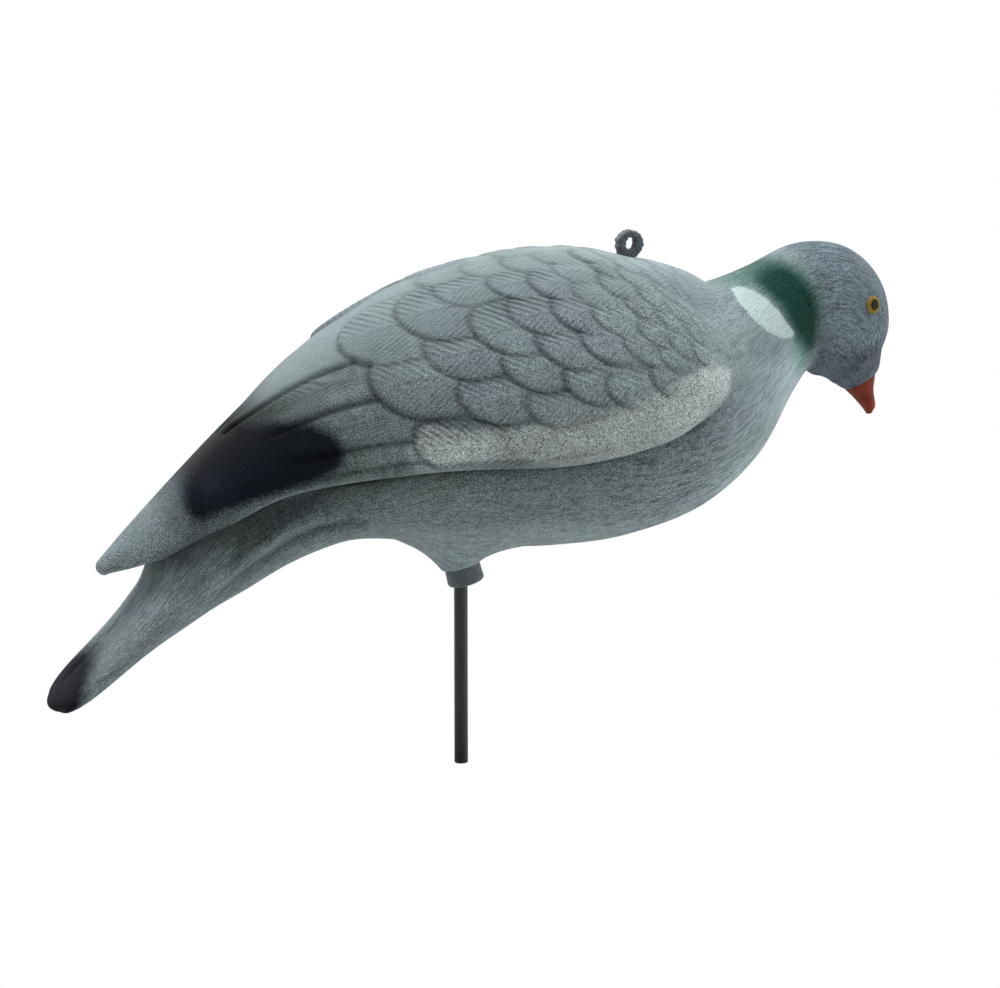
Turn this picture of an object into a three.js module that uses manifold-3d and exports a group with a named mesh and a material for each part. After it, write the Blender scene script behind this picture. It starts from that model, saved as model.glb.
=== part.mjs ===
import * as THREE from "three";
import { mergeVertices } from "three/addons/utils/BufferGeometryUtils.js";
import Module from "manifold-3d";

// A wood pigeon decoy with its head down to feed, held up on a ground stake.
// Millimetres, +Z up, the bird faces +X and both sides mirror across the XZ plane.
// The origin is the middle of the flat lower end of the stake.

// The bird
const birdLength = 388; // tail tip to forehead
const birdHeight = 186; // tail tip to crown
const birdWidth = 122; // across the folded wings
const featherRelief = 1.1; // how far a feather's edge stands over the next one
const quillGroove = 1.3; // depth of the lines between the long flight feathers
const wingRim = 0.9; // swell of the rolled rim along the wing's lower edge
const tailGroove = 0.9; // depth of the line down the middle of the tail
const eyeDiameter = 8.4;
const eyeBulge = 1.2;

// The stake and the collar that it enters
const stakeDiameter = 6;
const stakeShows = 81; // from the lower end up to the collar
const stakeInBody = 34; // above the collar, inside the body
const collarWall = 4.5; // around the stake
const collarShows = 8.3;
const collarSeat = 3; // depth of the collar's seat in the body
const collarTilt = THREE.MathUtils.degToRad(15);
const collarFlare = 0.35; // more radius at the lower rim
const collarEdge = 1.2; // rounding of the lower rim
const bossDrop = 7.98; // the body's boss, below the belly line
const bossLip = 0.5; // left around the collar's seat
const bossSpread = 12; // how fast the boss flares into the belly
const bossReach = 42; // radius where the flare has run out
const bossBury = 1.6; // how deep the flare heads into the belly
const fit = 0.3; // gap between pieces that touch

// The hanging ring on the back
const ringDiameter = 12;
const ringThickness = 5.2;
const ringHoleWidth = 4.4;
const ringHoleHeight = 5.8;
const ringSink = 0.5; // the ring's lowest point, below the back
const ringFootWidth = 8.4;
const ringEdge = 0.7; // its rounded edges
const ringPlace = 0.1988; // share of the bird's length in front of the stake

// Levels that follow from the sizes above
const stakeRadius = stakeDiameter / 2;
const socketRadius = stakeRadius + fit;
const collarRadius = socketRadius + collarWall;
const collarDrop = collarShows * Math.cos(collarTilt);
const collarTop = stakeShows + collarDrop;
const bellyLevel = collarTop + bossDrop;

// The body from tail to beak, as flat sections across it. Each row holds the section's
// back point and keel point (along, up), its half width, where its widest place lies
// between keel (0) and back (1), and how square it is (2 is an ellipse). Along is a share
// of the bird's length from the stake, up a share of its height from the belly line, and
// half width a share of its width.
const bodySections = [
  [-0.4722, -0.293, -0.469, -0.3091, 0.074, 0.5, 2],
  [-0.4616, -0.262, -0.4559, -0.3105, 0.148, 0.5, 2.1],
  [-0.4448, -0.2208, -0.4284, -0.2785, 0.18, 0.5, 2.1],
  [-0.3936, -0.1165, -0.3714, -0.1898, 0.205, 0.5, 2.1],
  [-0.3454, 0.0065, -0.3227, -0.128, 0.23, 0.5, 2.2],
  [-0.2732, 0.172, -0.258, -0.0468, 0.27, 0.48, 2.3],
  [-0.201, 0.2849, -0.1838, 0.0237, 0.328, 0.47, 2.4],
  [-0.1289, 0.4032, -0.1289, 0.0446, 0.385, 0.46, 2.3],
  [-0.0387, 0.5323, -0.0309, 0.0188, 0.426, 0.48, 2.05],
  [0.0515, 0.6183, 0.0387, 0, 0.459, 0.48, 2],
  [0.1289, 0.6559, 0.1082, -0.0059, 0.459, 0.48, 2],
  [0.2062, 0.6183, 0.1853, 0.0059, 0.434, 0.48, 2],
  [0.2577, 0.5968, 0.276, 0.0597, 0.385, 0.5, 2],
  [0.3031, 0.6, 0.3474, 0.1683, 0.311, 0.52, 2],
  [0.3536, 0.6339, 0.3912, 0.3091, 0.238, 0.52, 2],
  [0.4067, 0.6817, 0.4162, 0.3747, 0.197, 0.52, 2],
  [0.4557, 0.6823, 0.434, 0.3634, 0.168, 0.55, 2],
  [0.4923, 0.6441, 0.4446, 0.3586, 0.148, 0.55, 2],
  [0.5162, 0.579, 0.4523, 0.3516, 0.135, 0.58, 2],
  [0.5242, 0.4989, 0.4595, 0.3414, 0.119, 0.58, 2],
  [0.518, 0.429, 0.466, 0.3344, 0.09, 0.55, 2],
  [0.5172, 0.364, 0.4714, 0.3274, 0.066, 0.5, 2],
  [0.506, 0.349, 0.478, 0.3225, 0.045, 0.5, 2],
];
const grooveStart = [0.4, 1.2]; // rows where the tail's middle line fades in and out
const grooveEnd = [4, 5];
const bellyRows = [5, 12]; // the rows that the boss can lie under

// The beak, from its root inside the head to its tip, in the same terms.
const beakSections = [
  [0.5066, 0.3849, 0.4742, 0.3495, 0.05, 0.5, 2],
  [0.5112, 0.3613, 0.4742, 0.3284, 0.0595, 0.5, 2],
  [0.5098, 0.3226, 0.4869, 0.3022, 0.0475, 0.5, 2],
  [0.5131, 0.2844, 0.4982, 0.2769, 0.033, 0.5, 2],
  [0.5106, 0.2672, 0.503, 0.2634, 0.018, 0.5, 2],
];

// The folded wings and back, one shell over the body. Each section runs from the ridge of
// the back, slanting forward and down, to the wing's lower lip. Each row holds the ridge
// point and the lip point (along, up), the half width at its widest and at the lip, and
// where the widest place lies between lip (0) and ridge (1).
const wingSections = [
  [-0.4162, 0.0188, -0.4119, -0.0054, 0.041, 0.036, 0.4],
  [-0.3771, 0.1043, -0.3637, 0.0265, 0.115, 0.107, 0.16],
  [-0.3188, 0.2199, -0.301, 0.1027, 0.213, 0.201, 0.16],
  [-0.2557, 0.3409, -0.2147, 0.186, 0.311, 0.295, 0.16],
  [-0.1631, 0.5091, -0.0711, 0.2285, 0.451, 0.434, 0.16],
  [-0.068, 0.6226, 0.0786, 0.2285, 0.5, 0.48, 0.16],
  [0.0299, 0.679, 0.1799, 0.2618, 0.492, 0.467, 0.16],
  [0.1183, 0.6957, 0.2312, 0.3038, 0.459, 0.439, 0.16],
  [0.2028, 0.6667, 0.2696, 0.3495, 0.41, 0.393, 0.16],
  [0.2649, 0.6317, 0.2948, 0.4054, 0.352, 0.34, 0.16],
  [0.303, 0.585, 0.3111, 0.4688, 0.287, 0.275, 0.16],
];
const wingWidest = 0.82; // share of the way from ridge to lip where the shell is widest
const undersideRise = [0, 0.1, 0.2, 0.1, 0]; // the shell's underside, lip to lip
const undersideWidth = [1, 0.72, 0, -0.72, -1];

// The covert feathers lie in rows. Places are counted in wing sections from the tail.
const rowPlaces = [3.95, 4.55, 5.02, 5.48, 5.95, 6.45, 6.92, 7.38, 7.84, 8.28];
const rowStarts = [0.69, 0.55, 0.22, 0.5, 0.22, 0.6, 0.2, 0.7, 0.2, 0.7];
const barEdge = 0.74; // upper edge of the long feathers along the lip
const barMiddle = 0.87;
const featherWidth = 0.13; // of the small coverts, as a share of ridge to lip
const rearGrowth = 0.37; // how the extra width of the rear rows dies away forward
const tipDepth = 0.6; // how far a feather's tip runs back, as a share of the row
const tipFlat = 0.06; // 0 is a full half circle, more is flatter at its sides
const stepWidth = 0.05; // how steeply a feather's edge drops to the next feather
const rowsFadeFrom = 6.3; // forward of here the rows grow faint
const rowsFadeTo = 8.9;
const firstRowStep = 0.35; // the first row also sinks the flight feathers at its edge

// The long flight feathers behind them: each line starts at the first row and runs back.
const quillLines = [
  [0.27, 0.23],
  [0.52, 0.12],
  [0.74, 0.08],
  [0.86, 0.03],
];
const quillWidth = 0.022;
const quillsStart = [0.4, 1.6]; // places where the lines fade in from the wing tip
const ridgeClear = 0.05; // lines stop this close to the ridge
const rimReach = [0.9, 0.96]; // where the rolled rim rises, from ridge (0) to lip (1)
const rimStart = [0.3, 1.2];
const flightPlaces = [0, 0.15, 0.4, 0.8, 1.2, 1.65, 2.1, 2.55, 3, 3.4, 3.7];
const frontPlaces = [8.75, 9.25, 9.6, 10];
const frontSinks = [0, 0, 1.4, 5]; // how deep the shell's front dives into the neck
const sinkReach = [0.15, 0.4]; // but not at the ridge

// How finely the forms are cut
const ringColumns = 28; // around the body
const sideColumns = 33; // on each side of the back's ridge
const roundSides = 26; // of the collar and the boss
const bossRings = 8;
const stakeSides = 24;
const beakSides = 14;
const ringSides = 10;
const collarRounds = 4; // around the collar's lower rim
const beakStep = 0.5; // rows of the beak's table between its rings
const bossGrading = 1.5; // above 1 the boss's rings lie closer at the collar
const bossPlug = 1.5; // its inner end, as a share of the way up to the belly

const halvings = 30; // when a place on a curve is looked for by halving
const smallStep = 0.004; // along a surface, for its slope
const weldWithin = 1e-4;
const perPoint = 3; // numbers in a point

const along = (share) => share * birdLength;
const up = (share) => bellyLevel + share * birdHeight;
const across = (share) => share * birdWidth;
const smooth = (low, high, x) => THREE.MathUtils.smoothstep(x, low, high);

// A smooth curve through the rows of a table, read at a fractional row number.
function rowAt(rows, place) {
  const last = rows.length - 1;
  const i = Math.min(Math.max(Math.floor(place), 0), last - 1);
  const f = place - i;
  return rows[i].map((_, k) => {
    const b = rows[i][k];
    const c = rows[i + 1][k];
    const a = i > 0 ? rows[i - 1][k] : 2 * b - c;
    const d = i < last - 1 ? rows[i + 2][k] : 2 * c - b;
    const curve = 2 * b + (c - a) * f + (2 * a - 5 * b + 4 * c - d) * f * f;
    return 0.5 * (curve + (3 * b - a - 3 * c + d) * f * f * f);
  });
}

// A point of a body section: angle 0 is the back, a quarter turn the right side.
function sectionPoint(rows, place, angle) {
  const [bx, bz, kx, kz, half, widest, square] = rowAt(rows, place);
  const s = Math.sin(angle);
  const c = Math.cos(angle);
  const side = Math.sign(s) * Math.abs(s) ** (2 / square);
  const rise = Math.abs(c) ** (2 / square);
  const [ex, ez] = c > 0 ? [bx, bz] : [kx, kz];
  const mx = kx + widest * (bx - kx);
  const mz = kz + widest * (bz - kz);
  const x = along(mx + (ex - mx) * rise);
  const z = up(mz + (ez - mz) * rise);
  return new THREE.Vector3(x, -across(half) * side, z);
}

// A point of the wing shell: reach 0 is the ridge, 1 the right lip and -1 the left lip.
function wingPoint(place, reach) {
  const [rx, rz, lx, lz, half, lipHalf, widest] = rowAt(wingSections, place);
  const r = Math.abs(reach);
  const mx = lx + widest * (rx - lx);
  const mz = lz + widest * (rz - lz);
  let side = half;
  let x = mx;
  let z = mz;
  if (r <= wingWidest) {
    const angle = (r / wingWidest) * (Math.PI / 2);
    side = half * Math.sin(angle);
    x += (rx - mx) * Math.cos(angle);
    z += (rz - mz) * Math.cos(angle);
  } else {
    const down = (r - wingWidest) / (1 - wingWidest);
    side = half - (half - lipHalf) * down * down;
    x += (lx - mx) * down;
    z += (lz - mz) * down;
  }
  return new THREE.Vector3(along(x), -Math.sign(reach) * across(side), up(z));
}

// The outward normal of a surface at a place, from two short steps along it.
function normalAt(surface, place, turn, step) {
  const a = surface(place + step, turn).sub(surface(place - step, turn));
  const b = surface(place, turn + step).sub(surface(place, turn - step));
  return b.cross(a).normalize();
}

function featherWidthOf(row) {
  return featherWidth * (1 + rearGrowth ** row);
}

// How far from the middle of its feather (0) to the feather's side (1) a point lies.
function acrossFeather(row, reach) {
  const r = Math.abs(reach);
  if (r > barEdge) {
    return Math.min(Math.abs(r - barMiddle) / (barMiddle - barEdge), 1);
  }
  const width = featherWidthOf(row);
  const first = barEdge - rowStarts[row] * width;
  const steps = (first - r) / width;
  return Math.min(2 * Math.abs(steps - Math.round(steps)), 1);
}

// The scalloped edge of a row of feathers, as a place along the wing.
function rowEdge(row, reach) {
  const next = [...rowPlaces, frontPlaces[0]][row + 1];
  const bow = 1 - Math.sqrt(1 - (1 - tipFlat) * acrossFeather(row, reach) ** 2);
  return rowPlaces[row] + tipDepth * (next - rowPlaces[row]) * bow;
}

// Grooves between the flight feathers and the rolled rim at the lip.
function flightRelief(place, reach) {
  const r = Math.abs(reach);
  const back = rowPlaces[0] - place;
  let height = wingRim * smooth(...rimReach, r) * smooth(...rimStart, place);
  quillLines.forEach(([start, slope]) => {
    const line = start - slope * Math.max(back, 0);
    const near = Math.exp(-(((r - line) / quillWidth) ** 2));
    const open = line > ridgeClear ? smooth(...quillsStart, place) : 0;
    height -= quillGroove * near * open;
  });
  return height;
}

// Each line across the wing shell: its place at each reach, and the feathers' height there.
function wingLines() {
  const lines = [];
  flightPlaces.forEach((place) => {
    lines.push([() => place, (reach) => flightRelief(place, reach)]);
  });
  rowPlaces.forEach((rowPlace, row) => {
    const height = featherRelief * (1 - smooth(rowsFadeFrom, rowsFadeTo, rowPlace));
    const foot = row === 0 ? -firstRowStep * featherRelief : 0;
    const rim = wingRim * (1 - row / rowPlaces.length);
    const lip = (reach) => rim * smooth(...rimReach, Math.abs(reach));
    lines.push([(reach) => rowEdge(row, reach) - stepWidth, (reach) => foot + lip(reach)]);
    lines.push([(reach) => rowEdge(row, reach), (reach) => height + lip(reach)]);
  });
  frontPlaces.forEach((place, i) => {
    const sink = (reach) => frontSinks[i] * smooth(...sinkReach, Math.abs(reach));
    lines.push([() => place, (reach) => -sink(reach)]);
  });
  return lines;
}

// A closed skin through rings of points, with a fan over each end.
function skinOf(rings) {
  const count = rings[0].length;
  const points = rings.flat();
  const faces = [];
  for (let i = 0; i + 1 < rings.length; i++) {
    for (let j = 0; j < count; j++) {
      const a = i * count + j;
      const b = i * count + ((j + 1) % count);
      faces.push(a, b, b + count, a, b + count, a + count);
    }
  }
  const ends = [rings[0], rings[rings.length - 1]];
  ends.forEach((ring, end) => {
    const middle = new THREE.Vector3();
    ring.forEach((p) => middle.addScaledVector(p, 1 / count));
    const base = end * (rings.length - 1) * count;
    for (let j = 0; j < count; j++) {
      const pair = [base + j, base + ((j + 1) % count)];
      faces.push(points.length, ...(end ? pair : pair.reverse()));
    }
    points.push(middle);
  });
  const geometry = new THREE.BufferGeometry().setFromPoints(points);
  geometry.setIndex(faces);
  return geometry;
}

function bodySkin() {
  const rings = [];
  const steps = (bodySections.length - 1) * 2;
  for (let i = 0; i <= steps; i++) {
    const place = i / 2;
    const groove = tailGroove * smooth(...grooveStart, place) * (1 - smooth(...grooveEnd, place));
    rings.push(
      Array.from({ length: ringColumns }, (_, j) => {
        const point = sectionPoint(bodySections, place, (2 * Math.PI * j) / ringColumns);
        if (j === 0) {
          const keel = sectionPoint(bodySections, place, Math.PI);
          point.addScaledVector(keel.sub(point).normalize(), groove);
        }
        return point;
      }),
    );
  }
  return skinOf(rings);
}

function beakSkin() {
  const rings = [];
  for (let place = 0; place <= beakSections.length - 1; place += beakStep) {
    rings.push(
      Array.from({ length: beakSides }, (_, j) =>
        sectionPoint(beakSections, place, (2 * Math.PI * j) / beakSides),
      ),
    );
  }
  return skinOf(rings);
}

function wingSkin() {
  const rings = wingLines().map(([placeAt, heightAt]) => {
    const ring = [];
    for (let j = -sideColumns; j <= sideColumns; j++) {
      const reach = j / sideColumns;
      const place = Math.min(Math.max(placeAt(reach), 0), wingSections.length - 1);
      const inside = THREE.MathUtils.clamp(reach, smallStep - 1, 1 - smallStep);
      const normal = normalAt(wingPoint, place, inside, smallStep);
      ring.push(wingPoint(place, reach).addScaledVector(normal, heightAt(reach)));
    }
    const place = THREE.MathUtils.clamp(placeAt(1), 0, wingSections.length - 1);
    const ridge = wingPoint(place, 0);
    const lip = wingPoint(place, 1);
    for (let k = 1; k < undersideWidth.length - 1; k++) {
      const x = THREE.MathUtils.lerp(lip.x, ridge.x, undersideRise[k]);
      const z = THREE.MathUtils.lerp(lip.z, ridge.z, undersideRise[k]);
      ring.push(new THREE.Vector3(x, lip.y * undersideWidth[k], z));
    }
    return ring;
  });
  return skinOf(rings);
}

const wasm = await Module();
wasm.setup();

function solidOf(geometry) {
  const bare = geometry.clone();
  bare.deleteAttribute("normal");
  bare.deleteAttribute("uv");
  const merged = mergeVertices(bare, weldWithin);
  const vertProperties = merged.attributes.position.array;
  const triVerts = new Uint32Array(merged.index.array);
  return new wasm.Manifold(new wasm.Mesh({ numProp: perPoint, vertProperties, triVerts }));
}

function geometryOf(solid) {
  const mesh = solid.getMesh();
  const positions = new Float32Array(mesh.numVert * perPoint);
  for (let i = 0; i < mesh.numVert; i++) {
    const from = i * mesh.numProp;
    positions.set(mesh.vertProperties.subarray(from, from + perPoint), i * perPoint);
  }
  const geometry = new THREE.BufferGeometry();
  geometry.setAttribute("position", new THREE.BufferAttribute(positions, perPoint));
  geometry.setIndex(new THREE.BufferAttribute(mesh.triVerts, 1));
  return geometry;
}

// A round form turned about +Z from (radius, height) points that start and end on the axis.
function turned(points, sides) {
  const profile = points.map(([r, h]) => new THREE.Vector2(r, h));
  return new THREE.LatheGeometry(profile, sides).rotateX(Math.PI / 2);
}

// The collar stands on its own axis, which leans back as it rises and crosses the stake's
// axis halfway up the seat.
function onCollarAxis(geometry) {
  const half = collarSeat / 2;
  return geometry
    .translate(0, 0, -half)
    .rotateY(-collarTilt)
    .translate(0, 0, collarTop + half);
}

function rod(radius, bottom, top) {
  const shape = [[0, bottom], [radius, bottom], [radius, top], [0, top]];
  return turned(shape, stakeSides);
}

// The height of the belly under the point (x, y), from the body's own sections.
function bellyAt(x, y) {
  let [low, high] = bellyRows;
  for (let i = 0; i < halvings; i++) {
    const middle = (low + high) / 2;
    if (along(rowAt(bodySections, middle)[2]) < x) low = middle;
    else high = middle;
  }
  const [, bz, , kz, half, widest] = rowAt(bodySections, low);
  const sideways = Math.min(Math.abs(y) / across(half), 1);
  const depth = widest * (bz - kz) * (1 - Math.sqrt(1 - sideways ** 2));
  return up(kz + depth);
}

// The boss flares from the collar's seat into the belly.
function bossSkin() {
  const rim = collarRadius + fit + bossLip;
  const rings = [];
  for (let i = 0; i <= bossRings + 1; i++) {
    const inside = i > bossRings;
    const radius = inside ? rim : rim + (bossReach - rim) * (i / bossRings) ** bossGrading;
    const ring = [];
    for (let j = 0; j < roundSides; j++) {
      const turn = (2 * Math.PI * j) / roundSides;
      const x = radius * Math.cos(turn);
      const y = radius * Math.sin(turn);
      const low = collarTop + rim * Math.cos(turn) * Math.tan(collarTilt);
      const high = bellyAt(x, y) + bossBury;
      const flare = inside ? bossPlug : 1 - Math.exp((rim - radius) / bossSpread);
      ring.push(new THREE.Vector3(x, y, low + flare * (high - low)));
    }
    rings.push(ring);
  }
  return skinOf(rings);
}

// The collar's seat in the boss.
function seatCut() {
  const radius = collarRadius + fit;
  const deep = collarSeat + fit;
  const profile = [[0, -radius], [radius, -radius], [radius, deep], [0, deep]];
  return onCollarAxis(turned(profile, roundSides));
}

function collarSkin() {
  const foot = collarRadius + collarFlare;
  const profile = [[0, -collarShows]];
  for (let i = 0; i <= collarRounds; i++) {
    const turn = (Math.PI / 2) * (i / collarRounds);
    const r = foot - collarEdge * (1 - Math.sin(turn));
    const h = -collarShows + collarEdge * (1 - Math.cos(turn));
    profile.push([r, h]);
  }
  profile.push([collarRadius, 0], [collarRadius, collarSeat], [0, collarSeat]);
  return onCollarAxis(turned(profile, roundSides));
}

// The place along the wing shell where its ridge has this distance from the stake.
function ridgePlaceAt(x) {
  let low = 4;
  let high = wingSections.length - 1;
  for (let i = 0; i < halvings; i++) {
    const middle = (low + high) / 2;
    if (wingPoint(middle, 0).x < x) low = middle;
    else high = middle;
  }
  return low;
}

// The ring's outline on a foot that runs into the back, grown by a gap for its seat.
function ringGeometry(grow) {
  const radius = ringDiameter / 2 + grow;
  const footHalf = ringFootWidth / 2 + grow;
  const footDrop = ringDiameter / 2 + grow;
  const shape = new THREE.Shape();
  const start = Math.asin(footHalf / radius);
  shape.moveTo(footHalf, -footDrop);
  for (let i = 0; i <= ringSides; i++) {
    const turn = start + ((2 * Math.PI - 2 * start) * i) / ringSides;
    shape.lineTo(radius * Math.sin(turn), -radius * Math.cos(turn));
  }
  shape.lineTo(-footHalf, -footDrop);
  if (grow === 0) {
    const hole = new THREE.Path();
    hole.absellipse(0, 0, ringHoleWidth / 2, ringHoleHeight / 2, 0, 2 * Math.PI, true);
    shape.holes.push(hole);
  }
  const bevel = grow === 0 ? ringEdge : 0;
  const depth = ringThickness + 2 * grow - 2 * bevel;
  const options = { depth, curveSegments: ringSides / 2, bevelEnabled: bevel > 0 };
  options.bevelThickness = bevel;
  options.bevelSize = bevel;
  options.bevelOffset = -bevel;
  options.bevelSegments = 1;
  const ring = new THREE.ExtrudeGeometry(shape, options);
  ring.translate(0, 0, -depth / 2).rotateX(Math.PI / 2);
  const place = ridgePlaceAt(along(ringPlace));
  const seat = wingPoint(place, 0);
  const normal = normalAt(wingPoint, place, 0, smallStep);
  const lean = Math.atan2(normal.x, normal.z);
  const middle = seat.addScaledVector(normal, ringDiameter / 2 - ringSink);
  return ring.rotateY(lean).translate(middle.x, 0, middle.z);
}

// The eyes are shallow domes on the sides of the head.
const eyePlace = 17.45;
const eyeAngle = THREE.MathUtils.degToRad(72);
function eyeSkin(side) {
  const surface = (place, angle) => sectionPoint(bodySections, place, angle);
  const middle = surface(eyePlace, eyeAngle);
  const normal = normalAt(surface, eyePlace, eyeAngle, smallStep);
  const dome = new THREE.SphereGeometry(eyeDiameter / 2, 14, 6);
  dome.scale(1, 1, (2 * eyeBulge) / eyeDiameter);
  const turn = new THREE.Quaternion();
  turn.setFromUnitVectors(new THREE.Vector3(0, 0, 1), normal);
  dome.applyQuaternion(turn).translate(middle.x, middle.y, middle.z);
  return side > 0 ? dome : mirrored(dome);
}

function mirrored(geometry) {
  const copy = geometry.clone().scale(1, -1, 1);
  const order = copy.index.array;
  for (let i = 0; i < order.length; i += 3) {
    [order[i + 1], order[i + 2]] = [order[i + 2], order[i + 1]];
  }
  return copy;
}

const stakeTop = collarTop + stakeInBody;

function pigeonBody() {
  return solidOf(bodySkin())
    .add(solidOf(wingSkin()))
    .add(solidOf(beakSkin()))
    .add(solidOf(bossSkin()))
    .add(solidOf(eyeSkin(1)))
    .add(solidOf(eyeSkin(-1)))
    .subtract(solidOf(seatCut()))
    .subtract(solidOf(rod(socketRadius, collarTop - collarSeat, stakeTop + fit)))
    .subtract(solidOf(ringGeometry(fit)));
}

function stakeCollar() {
  const bore = rod(socketRadius, stakeShows - collarRadius, stakeTop);
  return solidOf(collarSkin()).subtract(solidOf(bore));
}

const part = new THREE.Group();

function addPiece(name, geometry, color, roughness, metalness) {
  const material = new THREE.MeshStandardMaterial({ color, roughness, metalness });
  const piece = new THREE.Mesh(geometry, material);
  piece.name = name;
  part.add(piece);
}

addPiece("pigeon_body", geometryOf(pigeonBody()), 0x76828a, 0.95, 0);
addPiece("stake_collar", geometryOf(stakeCollar()), 0x424a4f, 0.9, 0);
addPiece("stake", rod(stakeRadius, 0, stakeTop), 0x2b2f31, 0.45, 0);
addPiece("hanging_ring", ringGeometry(0), 0x41484d, 0.8, 0);

export default part;
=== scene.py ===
import math
from collections import namedtuple

import bmesh
import bpy
import numpy as np
from mathutils import Matrix, Vector
from mathutils.bvhtree import BVHTree


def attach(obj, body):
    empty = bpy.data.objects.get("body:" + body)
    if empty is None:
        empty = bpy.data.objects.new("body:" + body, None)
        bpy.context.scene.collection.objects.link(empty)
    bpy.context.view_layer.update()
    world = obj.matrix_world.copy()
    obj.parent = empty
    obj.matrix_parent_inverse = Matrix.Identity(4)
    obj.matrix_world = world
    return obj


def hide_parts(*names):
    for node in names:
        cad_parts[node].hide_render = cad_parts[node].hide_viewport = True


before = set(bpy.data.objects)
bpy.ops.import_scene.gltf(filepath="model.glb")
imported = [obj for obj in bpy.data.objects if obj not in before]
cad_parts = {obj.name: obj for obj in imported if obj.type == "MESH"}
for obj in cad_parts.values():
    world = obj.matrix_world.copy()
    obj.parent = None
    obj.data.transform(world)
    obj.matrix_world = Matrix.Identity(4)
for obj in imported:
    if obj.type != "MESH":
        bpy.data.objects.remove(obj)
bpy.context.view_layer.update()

MM = 0.001

# The bird's own sizes, in millimetres, as in the solids.
BIRD_LENGTH = 388
BIRD_HEIGHT = 186
BIRD_WIDTH = 122
WING_RIM = 0.9
EYE_DIAMETER = 8.4
EYE_BULGE = 1.2
STAKE_DIAMETER = 6
STAKE_SHOWS = 81
STAKE_IN_BODY = 34
COLLAR_WALL = 4.5
COLLAR_SHOWS = 8.3
COLLAR_SEAT = 3
COLLAR_TILT = math.radians(15)
COLLAR_FLARE = 0.35
COLLAR_EDGE = 1.2
BOSS_DROP = 7.98
BOSS_LIP = 0.5
BOSS_SPREAD = 12
BOSS_REACH = 42
BOSS_BURY = 1.6
FIT = 0.3
RING_DIAMETER = 12
RING_THICKNESS = 5.2
RING_HOLE_WIDTH = 4.4
RING_HOLE_HEIGHT = 5.8
RING_SINK = 0.5
RING_FOOT_WIDTH = 8.4
RING_PLACE = 0.1988

STAKE_RADIUS = STAKE_DIAMETER / 2
COLLAR_RADIUS = STAKE_RADIUS + FIT + COLLAR_WALL
COLLAR_TOP = STAKE_SHOWS + COLLAR_SHOWS * math.cos(COLLAR_TILT)
BELLY_LEVEL = COLLAR_TOP + BOSS_DROP
STAKE_TOP = COLLAR_TOP + STAKE_IN_BODY

# Flat sections across the body, tail to beak: back point and keel point (along, up), half
# width, where the widest place lies, and how square the section is.
BODY_SECTIONS = np.array([
    [-0.4705, -0.284, -0.4655, -0.3125, 0.082, 0.5, 2],
    [-0.4616, -0.262, -0.4559, -0.3105, 0.148, 0.5, 2.1],
    [-0.4448, -0.2208, -0.4284, -0.2785, 0.18, 0.5, 2.1],
    [-0.3936, -0.1165, -0.3714, -0.1898, 0.205, 0.5, 2.1],
    [-0.3454, 0.0065, -0.3227, -0.128, 0.23, 0.5, 2.2],
    [-0.2732, 0.172, -0.258, -0.0468, 0.27, 0.48, 2.3],
    [-0.201, 0.2849, -0.1838, 0.0237, 0.328, 0.47, 2.4],
    [-0.1289, 0.4032, -0.1289, 0.0446, 0.385, 0.46, 2.3],
    [-0.0387, 0.5323, -0.0309, 0.0188, 0.426, 0.48, 2.05],
    [0.0515, 0.6183, 0.0387, 0, 0.459, 0.48, 2],
    [0.1289, 0.6559, 0.1082, -0.0059, 0.459, 0.48, 2],
    [0.2062, 0.6183, 0.1853, 0.0059, 0.434, 0.48, 2],
    [0.2577, 0.5968, 0.276, 0.0597, 0.385, 0.5, 2],
    [0.3031, 0.6, 0.3474, 0.1683, 0.311, 0.52, 2],
    [0.3536, 0.6339, 0.3912, 0.3091, 0.238, 0.52, 2],
    [0.4067, 0.6817, 0.4162, 0.3747, 0.197, 0.52, 2],
    [0.4557, 0.6823, 0.434, 0.3634, 0.168, 0.55, 2],
    [0.4923, 0.6441, 0.4446, 0.3586, 0.148, 0.55, 2],
    [0.5162, 0.579, 0.4523, 0.3516, 0.135, 0.58, 2],
    [0.5242, 0.4989, 0.4595, 0.3414, 0.119, 0.58, 2],
    [0.5182, 0.434, 0.466, 0.3344, 0.09, 0.55, 2],
    [0.5155, 0.376, 0.4714, 0.3274, 0.066, 0.5, 2],
    [0.503, 0.356, 0.478, 0.3225, 0.045, 0.5, 2],
])
BEAK_SECTIONS = np.array([
    [0.5066, 0.3849, 0.4742, 0.3495, 0.05, 0.5, 2],
    [0.5112, 0.3613, 0.4742, 0.3284, 0.0595, 0.5, 2],
    [0.5098, 0.3226, 0.4869, 0.3022, 0.0475, 0.5, 2],
    [0.5131, 0.2844, 0.4982, 0.2769, 0.033, 0.5, 2],
    [0.5106, 0.2672, 0.503, 0.2634, 0.018, 0.5, 2],
])
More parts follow.
